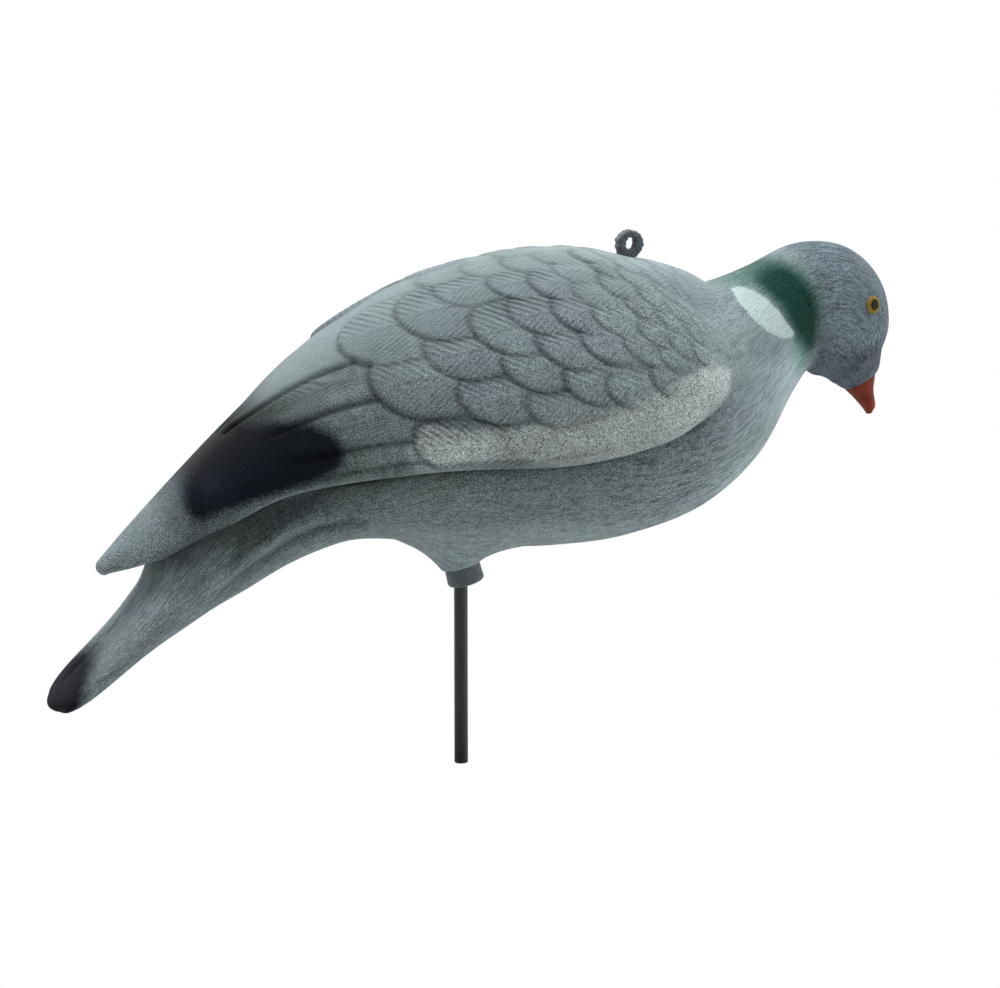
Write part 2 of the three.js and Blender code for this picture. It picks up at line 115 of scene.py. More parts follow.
# Sections of the wing shell, wing tip to nape: ridge point and lip point (along, up), half
# width at its widest and at the lip, and where the widest place lies.
WING_SECTIONS = np.array([
    [-0.4162, 0.0188, -0.4119, -0.0054, 0.041, 0.036, 0.4],
    [-0.3771, 0.1043, -0.3637, 0.0265, 0.115, 0.107, 0.16],
    [-0.3188, 0.2199, -0.301, 0.1027, 0.213, 0.201, 0.16],
    [-0.2557, 0.3409, -0.2147, 0.186, 0.311, 0.295, 0.16],
    [-0.1631, 0.5091, -0.0711, 0.2285, 0.451, 0.434, 0.16],
    [-0.068, 0.6226, 0.0786, 0.2285, 0.5, 0.48, 0.16],
    [0.0299, 0.679, 0.1799, 0.2618, 0.492, 0.467, 0.16],
    [0.1183, 0.6957, 0.2312, 0.3038, 0.459, 0.439, 0.16],
    [0.2028, 0.6667, 0.2696, 0.3495, 0.41, 0.393, 0.16],
    [0.2649, 0.6317, 0.2948, 0.4054, 0.352, 0.34, 0.16],
    [0.303, 0.585, 0.3111, 0.4688, 0.287, 0.275, 0.16],
])
WING_WIDEST = 0.82
LAST_BODY = len(BODY_SECTIONS) - 1
LAST_WING = len(WING_SECTIONS) - 1
NUDGE = 0.004  # of a section, the step over which slopes are measured

# The larger covert feathers of each wing, undermost first: place and reach of the tip,
# half width in millimetres, and how far the feather leans down towards the head, in degrees.
# The two that the light bar crosses also say how high they stand and how clearly they show.
LIGHT_FEATHERS = [(3.95, 0.79, 13.5, 5, 0.9, 1.25), (4.6, 0.84, 12, 3, 0.9, 0.45)]
FEATHERS = [
    (3.97, 0.47, 19, 12), (4.03, 0.18, 20, 20),
    (4.5, 0.64, 13, 1), (4.54, 0.45, 14.5, 6), (4.61, 0.24, 18.5, 13),
    (4.97, 0.71, 9.5, 1), (5.05, 0.58, 13, 0), (5.08, 0.42, 15, 6), (5.1, 0.22, 12, 0),
    (5.08, 0.08, 9, 0),
    (5.47, 0.67, 11.5, 1), (5.52, 0.54, 13.5, 0), (5.53, 0.41, 12, 1), (5.63, 0.26, 10.5, 3),
    (5.57, 0.12, 9, 0),
    (5.84, 0.72, 9, 3), (6, 0.56, 13, 3), (5.98, 0.44, 12.5, 4), (6.04, 0.3, 11, 5),
    (6.0, 0.15, 9.5, 0), (6.05, 0.03, 8, 0),
    (6.56, 0.73, 8.5, 3), (6.52, 0.6, 12.5, 4), (6.41, 0.49, 11, 2), (6.44, 0.38, 9.5, 2),
    (6.47, 0.26, 8.5, 2), (6.42, 0.14, 8, 0),
]
# Rows of small coverts in front of them: place of the tips and reach of the first.
SMALL_ROWS = [(6.98, 0.67), (7.38, 0.62), (7.76, 0.68), (8.12, 0.63), (8.48, 0.68)]
SMALL_COUNT = 6
SMALL_SPACING = 0.105
SMALL_HALF = 8.5
SHORTER_FROM = 5.3  # place from which the coverts run out sooner
HEM = 2.6  # width of a feather's rounded edge
# The lines between the long quills behind them: reach of each line where it starts, how
# fast it climbs towards the wing tip, and the place from which it shows.
QUILL_START = 3.95
QUILL_END = 4.3
QUILL_HEIGHT = 0.55
QUILL_CREASE = 1.1
QUILL_LINES = [(0.3, 0.2, 1.7), (0.52, 0.12, 2.9), (0.74, 0.08, 2.9), (0.87, 0.03, 2.9)]

# Outlines of the paint, seen from the side: (along, up) in millimetres.
WHITE_PATCH = [
    (121, 207), (125, 207.6), (129.5, 206.4), (134, 202.8), (138, 198), (141.2, 193),
    (145, 188), (144, 186), (138.5, 186), (131.5, 189), (125, 195), (121, 202),
]
GREEN_PATCH = [
    (132.5, 210.5), (137, 214.5), (142, 216.5), (147, 216.5), (151.5, 212.5), (156, 206),
    (158.5, 197), (158.5, 189), (159, 183), (156, 178), (151, 180.5), (148, 184), (144, 191),
    (139.5, 200), (135, 205.5),
]
GREEN_TINT = [
    (118, 210), (127, 213), (136, 217), (144, 219), (153, 215.5), (159, 208), (162, 200),
    (162, 190), (159, 180), (155, 172), (150, 169), (146, 176), (142, 189), (139, 199),
    (135, 204), (130, 207),
]
LIGHT_BAR = [
    (97, 180), (108, 175), (106, 166), (90, 155), (74, 147), (58, 143), (6, 139),
    (-38, 140), (-42, 148), (-41, 156), (-35, 161), (-22, 158), (5, 158), (22, 160),
    (42, 162), (61, 167),
]
BLACK_BLOTCH = [
    (-128.3, 134), (-123, 142), (-114, 151), (-104, 158.5), (-92, 162), (-78, 161.5),
    (-69, 157), (-65, 150), (-67, 142), (-76, 135.7), (-85, 132.4), (-104, 126.3),
    (-116, 121.3), (-122, 118.8), (-126, 120), (-128.8, 123.5), (-129.3, 128),
]
FLANK_CREASE = [
    (-128, 81), (-112, 92), (-104, 99), (-96, 105), (-86, 112), (-75, 116), (-62, 118),
]
TAIL_LINE = [(-150, 91), (-160, 80.5), (-168, 71.5)]
DARK_QUILL = [(-103, 157), (-99, 160), (-94, 163), (-88, 166), (-83, 169), (-74, 174)]
DARK_RIDGE = [(-124, 137), (-112, 149), (-104, 156)]
WING_LIP = [
    (-131, 108), (-119, 115), (-103, 123), (-87, 130), (-71, 135), (-44, 139), (-16, 140),
    (6, 140), (41, 141), (69, 147), (89, 154), (106, 166),
]
# The line along which the breast and lower neck get a painted highlight.
BREAST_HIGHLIGHT = [(96, 106), (118, 116), (133, 130), (143, 147), (148, 162), (147, 176)]

# Single places, (along, up): the pale spot beside the blotch, the shade of the cheek, the
# turn between breast and chin, and how far along the dark tail tip reaches.
PALE_SPOT = (-118, 136)
CHEEK = (163, 182)
THROAT = (161.5, 166.7)
TAIL_TIP_END = -162.5


def smooth(start, end, x):
    """Eases from 0 at `start` to 1 at `end`, which may lie either way round."""
    f = np.clip((x - start) / (end - start), 0, 1)
    return f * f * (3 - 2 * f)


def band(x, start, full, fading, gone):
    """Eases from 0 at `start` to 1 at `full`, and from `fading` back to 0 at `gone`."""
    return smooth(start, full, x) * smooth(gone, fading, x)


def bell(x, width):
    return np.exp(-((x / width) ** 2))


def row_at(rows, place):
    """A smooth curve through the rows of a table, read at fractional row numbers."""
    last = len(rows) - 1
    i = np.clip(np.floor(place), 0, last - 1).astype(int)
    f = (place - i)[:, None]
    b, c = rows[i], rows[i + 1]
    a = np.where(i[:, None] > 0, rows[np.maximum(i - 1, 0)], 2 * b - c)
    d = np.where(i[:, None] < last - 1, rows[np.minimum(i + 2, last)], 2 * c - b)
    curve = 2 * b + (c - a) * f + (2 * a - 5 * b + 4 * c - d) * f**2
    return (0.5 * (curve + (3 * b - a - 3 * c + d) * f**3)).T


def body_point(rows, place, angle):
    """A point of a body section: angle 0 is the back, a quarter turn the right side."""
    bx, bz, kx, kz, half, widest, square = row_at(rows, place)
    s, c = np.sin(angle), np.cos(angle)
    side = np.sign(s) * np.abs(s) ** (2 / square)
    rise = np.abs(c) ** (2 / square)
    ex, ez = np.where(c > 0, bx, kx), np.where(c > 0, bz, kz)
    mx, mz = kx + widest * (bx - kx), kz + widest * (bz - kz)
    x = BIRD_LENGTH * (mx + (ex - mx) * rise)
    z = BELLY_LEVEL + BIRD_HEIGHT * (mz + (ez - mz) * rise)
    return np.stack([x, -BIRD_WIDTH * half * side, z], -1)


def wing_point(place, reach):
    """A point of the wing shell: reach 0 is the ridge, 1 the right lip, -1 the left lip."""
    rx, rz, lx, lz, half, lip, widest = row_at(WING_SECTIONS, place)
    r = np.abs(reach)
    mx, mz = lx + widest * (rx - lx), lz + widest * (rz - lz)
    turn = np.minimum(r / WING_WIDEST, 1) * np.pi / 2
    down = np.maximum((r - WING_WIDEST) / (1 - WING_WIDEST), 0)
    above = r <= WING_WIDEST
    side = np.where(above, half * np.sin(turn), half - (half - lip) * down**2)
    x = np.where(above, mx + (rx - mx) * np.cos(turn), mx + (lx - mx) * down)
    z = np.where(above, mz + (rz - mz) * np.cos(turn), mz + (lz - mz) * down)
    y = -np.sign(reach) * BIRD_WIDTH * side
    return np.stack([BIRD_LENGTH * x, y, BELLY_LEVEL + BIRD_HEIGHT * z], -1)


def body_surface(place, angle):
    return body_point(BODY_SECTIONS, place, angle)


def unit(v):
    return v / np.maximum(np.linalg.norm(v, axis=-1, keepdims=True), 1e-9)


def slopes(surface, place, turn):
    """The steps along and across a surface, in millimetres per unit, and its normal."""
    a = (surface(place + NUDGE, turn) - surface(place - NUDGE, turn)) / (2 * NUDGE)
    b = (surface(place, turn + NUDGE) - surface(place, turn - NUDGE)) / (2 * NUDGE)
    return a, b, unit(np.cross(b, a))


def outline_depth(points, x, z):
    """How far inside a closed outline a side-view point lies (outside is negative)."""
    inside = np.zeros(len(x), bool)
    nearest = np.full(len(x), 1e9)
    for (ax, az), (bx, bz) in zip(points, points[1:] + points[:1]):
        nearest = np.minimum(nearest, distance_to_edge(ax, az, bx, bz, x, z))
        crosses = (az > z) != (bz > z)
        span = bz - az if bz != az else 1e-9
        inside ^= crosses & (x < ax + (bx - ax) * (z - az) / span)
    return np.where(inside, nearest, -nearest)


def distance_to_edge(ax, az, bx, bz, x, z):
    dx, dz = bx - ax, bz - az
    t = np.clip(((x - ax) * dx + (z - az) * dz) / (dx * dx + dz * dz), 0, 1)
    return np.hypot(x - ax - t * dx, z - az - t * dz)


def line_distance(points, x, z):
    edges = zip(points, points[1:])
    return np.min([distance_to_edge(*a, *b, x, z) for a, b in edges], axis=0)


def height_over(points, x, z):
    """How far a side-view point lies above a line that runs towards the head."""
    return z - np.interp(x, *np.array(points).T)


def face_rank(face):
    """A number of its own for each face of a sphere, from the numbers of its vertices."""
    numbers = [v.index for v in face.verts]
    return min(numbers) * 1e6 + sum(numbers)


def closed_skin(rings, columns):
    """A sphere's mesh and, for each vertex, its share of the way from pole to pole and
    round the axis, so that it can be drawn out into a long closed skin."""
    bm = bmesh.new()
    bmesh.ops.create_uvsphere(bm, u_segments=columns, v_segments=rings, radius=1)
    bm.verts.index_update()
    bm.faces.sort(key=face_rank)  # a new sphere's faces come in another order each run
    co = np.array([v.co[:] for v in bm.verts])
    along = np.arccos(np.clip(co[:, 2], -1, 1)) / np.pi
    around = (np.arctan2(co[:, 1], co[:, 0]) / (2 * np.pi)) % 1
    return bm, np.round(along * rings) / rings, np.round(around * columns) / columns % 1


def drawn_in(point, centre, scale, push, way):
    """Draws each ring of a skin in towards its centre, and pushes it outwards to round
    off the end."""
    return centre + (point - centre) * scale[:, None] + push[:, None] * np.array(way)


def move_to(bm, points):
    for vertex, point in zip(bm.verts, points * MM):
        vertex.co = point


def finish_mesh(bm, name, finish, stands_for, sharp=math.radians(50)):
    """Turns a bmesh into a named piece of the bird with its finish."""
    bmesh.ops.recalc_face_normals(bm, faces=bm.faces)
    mesh = bpy.data.meshes.new(name)
    bm.to_mesh(mesh)
    bm.free()
    piece = bpy.data.objects.new(name, mesh)
    bpy.context.collection.objects.link(piece)
    mesh.polygons.foreach_set("use_smooth", [True] * len(mesh.polygons))
    if sharp:
        mesh.set_sharp_from_angle(angle=sharp)
    mesh.materials.append(finish)
    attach(piece, "root")
    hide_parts(stands_for)
    return piece


def note(piece, name, values):
    """Keeps a number for each vertex that the finish reads."""
    kept = piece.data.attributes.new(name, "FLOAT", "POINT")
    kept.data.foreach_set("value", np.asarray(values, np.float32))


def note_vector(piece, name, values, domain="POINT"):
    kept = piece.data.attributes.new(name, "FLOAT_VECTOR", domain)
    kept.data.foreach_set("vector", np.asarray(values, np.float32).ravel())


# Finishes


def colour(red, green, blue):
    """A paint colour given as eight-bit display values, made linear."""
    def linear(v):
        v /= 255
        return v / 12.92 if v <= 0.04045 else ((v + 0.055) / 1.055) ** 2.4
    return linear(red), linear(green), linear(blue), 1


def emptied(owner):
    """The node tree of a material or a world, with nothing in it yet."""
    owner.use_nodes = True
    owner.node_tree.nodes.clear()
    return owner.node_tree


class Finish:
    """One finish: a shader and the nodes that feed it."""

    def __init__(self, name, roughness, sheen=0.0, sheen_roughness=0.5, specular=0.3):
        self.material = bpy.data.materials.new(name)
        self.tree = emptied(self.material)
        self.shader = self.tree.nodes.new("ShaderNodeBsdfPrincipled")
        out = self.tree.nodes.new("ShaderNodeOutputMaterial")
        self.tree.links.new(self.shader.outputs[0], out.inputs["Surface"])
        self.shader.inputs["Roughness"].default_value = roughness
        self.shader.inputs["Sheen Weight"].default_value = sheen
        self.shader.inputs["Sheen Roughness"].default_value = sheen_roughness
        self.shader.inputs["Specular IOR Level"].default_value = specular
        self.place = self.add("ShaderNodeTexCoord").outputs["Object"]

    def add(self, kind, **settings):
        made = self.tree.nodes.new(kind)
        for key, value in settings.items():
            setattr(made, key, value)
        return made

    def feed(self, socket, value):
        if isinstance(value, bpy.types.NodeSocket):
            self.tree.links.new(value, socket)
        else:
            socket.default_value = value

    def noted(self, name, output="Fac"):
        return self.add("ShaderNodeAttribute", attribute_name=name).outputs[output]

    def math(self, operation, a, b=0.0, c=0.0):
        made = self.add("ShaderNodeMath", operation=operation)
        for socket, value in zip(made.inputs, (a, b, c)):
            self.feed(socket, value)
        return made.outputs[0]

    def plus(self, a, b):
        return self.math("ADD", a, b)

    def minus(self, a, b):
        return self.math("SUBTRACT", a, b)

    def times(self, a, b):
        return self.math("MULTIPLY", a, b)

    def times_plus(self, a, b, c):
        return self.math("MULTIPLY_ADD", a, b, c)

    def apart(self, vector):
        made = self.add("ShaderNodeSeparateXYZ")
        self.feed(made.inputs[0], vector)
        return made.outputs

    def ramp(self, value, low, high, start=0.0, end=1.0):
        made = self.add("ShaderNodeMapRange", interpolation_type="SMOOTHSTEP")
        for name, v in zip(("Value", "From Min", "From Max", "To Min", "To Max"),
                           (value, low, high, start, end)):
            self.feed(made.inputs[name], v)
        return made.outputs["Result"]

    def stretched(self, source, scale):
        made = self.add("ShaderNodeMapping")
        self.feed(made.inputs["Vector"], source)
        made.inputs["Scale"].default_value = scale
        return made.outputs["Vector"]

    def noise(self, size, detail=2.0, roughness=0.5, source=None, distortion=0.0):
        """Soft random variation with spots of the given size (in the source's unit)."""
        made = self.add("ShaderNodeTexNoise")
        self.feed(made.inputs["Vector"], source or self.place)
        made.inputs["Scale"].default_value = 1 / size
        made.inputs["Detail"].default_value = detail
        made.inputs["Roughness"].default_value = roughness
        made.inputs["Distortion"].default_value = distortion
        return made.outputs["Fac"]

    def blend(self, share, a, b):
        made = self.add("ShaderNodeMix", data_type="RGBA")
        self.feed(made.inputs["Factor"], share)
        self.feed(made.inputs[6], a)
        self.feed(made.inputs[7], b)
        return made.outputs[2]

    def shade(self, paint, strength):
        """Lightens or darkens a paint by a factor."""
        made = self.add("ShaderNodeVectorMath", operation="SCALE")
        flat = paint if isinstance(paint, bpy.types.NodeSocket) else paint[:3]
        self.feed(made.inputs[0], flat)
        self.feed(made.inputs["Scale"], strength)
        return made.outputs[0]

    def bump(self, height, depth, below=None):
        made = self.add("ShaderNodeBump")
        made.inputs["Distance"].default_value = depth
        self.feed(made.inputs["Height"], height)
        if below is not None:
            self.feed(made.inputs["Normal"], below)
        return made.outputs["Normal"]

    def done(self, paint, normal, rough=None):
        self.feed(self.shader.inputs["Base Color"], paint)
        self.feed(self.shader.inputs["Normal"], normal)
        if rough is not None:
            self.feed(self.shader.inputs["Roughness"], rough)
        return self.material


def sprayed(finish, paint, depth_note, tint, soft, grain):
    """Paint sprayed inside an outline: soft edge and grain in millimetres."""
    spots = finish.noise(SPRAY_SIZE, 2, 0.6)
    depth = finish.times_plus(spots, grain, finish.noted(depth_note))
    depth = finish.minus(depth, grain / 2)
    share = finish.ramp(depth, -soft, soft)
    return finish.blend(share, paint, tint)


GREY = colour(121, 135, 135)
COOL_GREY = colour(121, 133, 138)
PALE_BAR = colour(149, 158, 158)
BLACK = colour(20, 25, 34)
WHITE = colour(172, 191, 190)
HEAD_GREY = colour(119, 134, 143)
GREEN = colour(18, 57, 50)
GREEN_HAZE = colour(88, 116, 110)
TAIL_DARK = colour(17, 19, 28)

# Sizes of the paint's and the flock's random variation, in metres.
SPRAY_SIZE = 0.0011
SPECK_SIZE = 0.00047
CLUMP_SIZE = 0.003
MOTTLE_SIZE = 0.022
TINT_SIZE = 0.03


def flock(name, sheen):
    """The grey flock: its finish and paint, the specks and clumps of its fine fibres, and
    how light or dark they make it."""
    finish = Finish(name, 0.95, sheen=sheen, sheen_roughness=0.4, specular=0.05)
    tint = finish.ramp(finish.noise(TINT_SIZE), 0.3, 0.7)
    paint = finish.blend(tint, GREY, COOL_GREY)
    specks = finish.ramp(finish.noise(SPECK_SIZE, 1), 0.3, 0.7)
    clumps = finish.noise(CLUMP_SIZE, 3, 0.6)
    mottle = finish.noise(MOTTLE_SIZE, 3, 0.55)
    tone = finish.minus(finish.times_plus(clumps, 0.6, specks), 0.765)
    tone = finish.times_plus(finish.times(tone, finish.noted("grain")), 1.1, 1.0)
    tone = finish.times(tone, finish.times_plus(mottle, 0.34, 0.82))
    return finish, paint, specks, clumps, tone


def flock_for_wings():
    finish, paint, specks, clumps, tone = flock("wing_flock", 0.12)
    paint = sprayed(finish, paint, "bar", PALE_BAR, 2.0, 4.5)
    paint = sprayed(finish, paint, "blotch", BLACK, 4.2, 5.0)
    off, fore, shows = finish.apart(finish.noted("barb", "Vector"))
    upper = finish.times(finish.math("MINIMUM", off, 0), -0.8)
    lower = finish.times(finish.math("MAXIMUM", off, 0), 1.7)
    slant = finish.plus(finish.plus(upper, lower), fore)
    phase = finish.times_plus(finish.noise(0.006), 3.0, finish.times(slant, 1.6))
    stripes = finish.times_plus(finish.math("SINE", phase), 0.5, 0.5)
    patchy = finish.ramp(finish.noise(0.012), 0.32, 0.6, 0.25, 1)
    bare = finish.ramp(finish.noted("blotch"), -3, 1, 1, 0.15)
    strength = finish.times(finish.times(shows, patchy), bare)
    stripes = finish.times(stripes, strength)
    tone = finish.times(tone, finish.times_plus(stripes, -0.42, 1.06))
    # Painted shade in the creases between the feathers, along with their darker flock.
    tone = finish.times(tone, finish.times_plus(finish.noted("crease"), -0.45, 1.0))
    # The wings' painted highlights and painted shade, with their own lighter and darker areas.
    tone = finish.times(tone, finish.noted("tone_and_painted_light"))
    shaft = finish.ramp(finish.math("ABSOLUTE", off), 0.3, 0.9, 0.14, 0)
    beside = finish.math("ABSOLUTE", finish.minus(off, 1.3))
    shaft = finish.minus(shaft, finish.ramp(beside, 0.3, 1.0, 0.26, 0))
    tone = finish.times(tone, finish.times_plus(shaft, strength, 1.0))
    normal = finish.bump(stripes, -0.0009)
    height = finish.times(finish.times_plus(clumps, 2.0, specks), bare)
    return finish.done(finish.shade(paint, tone), finish.bump(height, 0.0004, normal))


def flock_for_body():
    finish, paint, specks, clumps, tone = flock("body_flock", 0.08)
    head = finish.ramp(finish.apart(finish.place)[0], 0.145, 0.165)
    paint = finish.blend(head, paint, HEAD_GREY)
    for mark, tint, soft, grain in (("tail_tip", TAIL_DARK, 6.5, 7.0),
                                    ("bar", PALE_BAR, 2.0, 4.5),
                                    ("green_tint", GREEN_HAZE, 4.5, 3.0),
                                    ("green", GREEN, 3.6, 3.0)):
        paint = sprayed(finish, paint, mark, tint, soft, grain)
    lay = finish.stretched(finish.noted("lay", "Vector"), (0.14, 0.75, 1.0))
    brushed = finish.ramp(finish.noise(1.0, source=lay, distortion=1.3), 0.34, 0.56)
    depth = finish.times(finish.minus(brushed, 0.62), finish.noted("strokes"))
    tone = finish.times(tone, finish.plus(depth, 1.0))
    # The body's painted shade and painted highlights, with its own lighter and darker areas.
    tone = finish.times(tone, finish.noted("tone_and_painted_light"))
    paint = finish.shade(paint, tone)
    bright = finish.shade(WHITE, finish.times_plus(tone, 0.25, 0.72))
    paint = sprayed(finish, paint, "white", bright, 0.7, 2.4)
    height = finish.times_plus(clumps, 2.5, specks)
    return finish.done(paint, finish.bump(height, 0.0002, finish.bump(brushed, 0.0002)))


def beak_paint():
    finish = Finish("beak_paint", 0.7, specular=0.12)
    spots = finish.noise(0.0012, 3, 0.6)
    smudge = finish.noise(0.006, 2, 0.5)
    paint = finish.blend(finish.ramp(smudge, 0.3, 0.7), colour(116, 49, 31), colour(93, 39, 25))
    tone = finish.times_plus(spots, 0.5, 0.75)
    return finish.done(finish.shade(paint, tone), finish.bump(spots, 0.0003))


def eye_paint(middle):
    """Gold with an olive pupil, by the distance from the eye's middle on either side."""
    finish = Finish("eye_paint", 0.6, specular=0.05)
    either = finish.add("ShaderNodeVectorMath", operation="ABSOLUTE")
    finish.feed(either.inputs[0], finish.place)
    away = finish.add("ShaderNodeVectorMath", operation="DISTANCE")
    finish.feed(away.inputs[0], either.outputs[0])
    away.inputs[1].default_value = [abs(v) * MM for v in middle]
    ragged = finish.noise(0.0013, 2, 0.6)
    distance = finish.times_plus(ragged, 0.0024, away.outputs["Value"])
    distance = finish.minus(distance, 0.0012)
    gold = finish.blend(finish.noise(0.0009), colour(152, 122, 46), colour(84, 66, 28))
    olive = finish.blend(finish.noise(0.0012), colour(14, 18, 10), colour(46, 48, 22))
    paint = finish.blend(finish.ramp(distance, 0.0023, 0.0029), olive, gold)
    paint = finish.blend(finish.ramp(distance, 0.0036, 0.0042), paint, colour(104, 108, 96))
    return finish.done(paint, finish.bump(ragged, 0.0002))


def stake_paint():
    finish = Finish("stake_paint", 0.5, specular=0.4)
    drawn = finish.stretched(finish.place, (1.0, 1.0, 0.06))
    streaks = finish.noise(0.0009, 3, 0.6, drawn)
    specks = finish.noise(0.0006, 2, 0.6)
    tone = finish.times_plus(streaks, 0.5, 0.75)
    tone = finish.times(tone, finish.times_plus(specks, 0.3, 0.85))
    rough = finish.ramp(streaks, 0.3, 0.7, 0.42, 0.62)
    normal = finish.bump(streaks, 0.0001)
    return finish.done(finish.shade(colour(34, 38, 41), tone), normal, rough)


def dark_plastic(name, red, green, blue):
    finish = Finish(name, 0.85, sheen=0.3, specular=0.25)
    specks = finish.noise(0.0007, 2, 0.65)
    clumps = finish.noise(0.003, 3, 0.6)
    tone = finish.times_plus(specks, 0.8, 0.6)
    tone = finish.times(tone, finish.times_plus(clumps, 0.4, 0.8))
    height = finish.plus(specks, clumps)
    return finish.done(finish.shade(colour(red, green, blue), tone), finish.bump(height, 0.0005))


# The wings


Feather = namedtuple("Feather", "tip reach half lean high shows")


def feathers():
    """Every covert feather, undermost first."""
    made = [Feather(*feather) for feather in LIGHT_FEATHERS]
    for tip, reach, half, lean in FEATHERS:
        shows = float(smooth(-0.1, 0.3, reach)) * (1 - 0.45 * float(smooth(5.8, 6.8, tip)))
        made.append(Feather(tip, reach, half, lean, 0.9 + 0.05 * half * shows, shows))
    for row, (tip, first) in enumerate(SMALL_ROWS):
        shows = 0.8 - 0.1 * row
        for i in range(SMALL_COUNT):
            shift = 0.07 * math.sin(3.7 * i + 5.3 * row)
            half = SMALL_HALF * (1 + 0.12 * math.sin(2.9 * i + 1.7 * row))
            made.append(Feather(tip + shift, first - i * SMALL_SPACING, half,
                                3 * math.sin(i + row), 1.1 * shows, shows))
    return made


RIM_TOP = 0.925
PLACE_STEPS = 8
REACH_STEPS = 50
GRID_PLACES = np.linspace(0, LAST_WING, LAST_WING * PLACE_STEPS + 1)
GRID_REACHES = np.linspace(0, 1, REACH_STEPS + 1)
EDGE_REACH = 0.9999  # the lower edge, as far as the shell still has a slope


def girth_grid():
    """Distances over the wing from the ridge down, in millimetres, place by place."""
    rows = [wing_point(np.full(len(GRID_REACHES), place), GRID_REACHES) for place in GRID_PLACES]
    steps = np.linalg.norm(np.diff(rows, axis=1), axis=-1)
    return np.pad(np.cumsum(steps, axis=1), ((0, 0), (1, 0)))


GIRTHS = girth_grid()


def girth(place, reach):
    """How far below the ridge a point lies, measured over the wing."""
    i = np.clip(place, 0, LAST_WING - 0.001) * PLACE_STEPS
    j = np.clip(reach, 0, EDGE_REACH) * REACH_STEPS
    a, b = i.astype(int), j.astype(int)
    i, j = i - a, j - b
    near = GIRTHS[a, b] * (1 - j) + GIRTHS[a, b + 1] * j
    return near * (1 - i) + (GIRTHS[a + 1, b] * (1 - j) + GIRTHS[a + 1, b + 1] * j) * i


def on_feather(feather, place, down, along):
    """Where points lie on a feather: off its shaft and along it, in millimetres."""
    shaft = [np.interp(feather.reach, GRID_REACHES, row) for row in GIRTHS]
    fore = (place - feather.tip) * along
    below = down - np.interp(place, GRID_PLACES, shaft)
    lean = math.radians(feather.lean)
    c, s = math.cos(lean), math.sin(lean)
    return c * below - s * fore, c * fore + s * below


def quill_reach(start, slope, place):
    """Reach of a line between two quills, which climbs towards the wing tip."""
    return np.maximum(start - slope * np.maximum(QUILL_START - place, 0), 0)


def quill_relief(place, down):
    """Height and creases of the long quills, and which of them a point lies on."""
    height, crease = np.zeros(len(place)), np.zeros(len(place))
    owner = np.full(len(place), -1)
    rear = place < QUILL_END
    for i, (start, slope, opens) in enumerate(QUILL_LINES):
        line = quill_reach(start, slope, place)
        away = down - girth(place, line)
        shows = smooth(opens, opens + 0.5, place) * (line > 0.05) * rear
        height += shows * QUILL_HEIGHT * bell(away + 3.2, 4.0)
        height -= shows * QUILL_CREASE * bell(away - 0.4, 1.5)
        crease = np.maximum(crease, shows * bell(away - 0.4, 1.6))
        owner[(away > 0) & rear] = -2 - i
    return height, crease, owner


def feather_relief(place, reach, down, along):
    """Height of the feathers over the bare shell, the darkening in the creases between them
    (partly the flock's darker colour, partly painted shade), and which feather lies on top."""
    r = np.abs(reach)
    height, crease, owner = quill_relief(place, down)
    for i, feather in enumerate(feathers()):
        half, high, shows = feather.half, feather.high, feather.shows
        long = feather.tip < SHORTER_FROM
        runs, ends = (2.4, 3.4) if long else (0.9, 2.3)
        off, t = on_feather(feather, place, down, along)
        near = (np.abs(off) < half + 6) & (t > -6) & (t < ends * half)
        off, t = off[near], t[near]
        u = off / half
        fore = np.clip(1 - t / half, 0, None)
        inward = (1 - np.sqrt(u**2 + fore**2)) * half
        on = inward > 0
        fade = smooth(ends * half, runs * half, t)
        if i >= len(LIGHT_FEATHERS):
            shows = shows * smooth(0.82, 0.76, r[near])
        ramp = np.clip(inward / HEM, 0, 1)
        ramp = np.sqrt(1 - (1 - ramp) ** 2) * fade
        dome = (1 - 0.3 * u**2) * (1 - 0.6 * np.clip(t / (3.2 * half), 0, 1))
        top = high * (dome + 0.25 * bell(off, 0.8) * smooth(0.3, 0.8, t / half))
        side = 0.82 + 0.18 * smooth(-0.7, 0.3, u)
        if not long:
            side = side * (1 - 0.8 * smooth(0.3, 1.2, t / half))
        groove = shows * side * bell(np.minimum(inward, 0) + 0.6, 1.35) * ~on * fade
        hem = 0.6 * shows * side * fade * bell(inward, 1.1)
        h, k = height[near] - 0.3 * high * groove, crease[near]
        height[near] = np.where(on, h + (top - h) * ramp, h)
        crease[near] = np.where(on, np.maximum(k * (1 - ramp), hem), np.maximum(k, groove))
        owner[np.flatnonzero(near)[on & (t < 3 * half)]] = i
    seam = band(place, 3.7, 4.2, 5, 6) * bell(down - girth(place, RIM_TOP), 1.1)
    crease = np.maximum(crease, 0.55 * seam)
    inside = smooth(0.98, 0.94, r) * wing_front(place)
    return height * inside + wing_rim(place, r), crease * inside, owner


def wing_front(place):
    """Fades the relief out where the wings' front runs into the neck."""
    return smooth(9.5, 8.7, place)


def wing_rim(place, reach):
    """The rolled rim along the wing's lower edge."""
    return WING_RIM * smooth(0.9, 0.96, reach) * band(place, 1.3, 2.3, 6, 9) * wing_front(place)


def feather_tones(owner, barbs):
    """Each feather's own slight difference in grey, lighter towards its middle."""
    own = np.sin(owner * 12.9898 + 4.1) * 43758.5453 % 1
    off, fore, shows = barbs.T
    middle = bell(off, 5) * smooth(1, 7, fore)
    return 1 + (owner >= 0) * (0.1 * (own - 0.5) + 0.08 * (middle - 0.4) * shows)


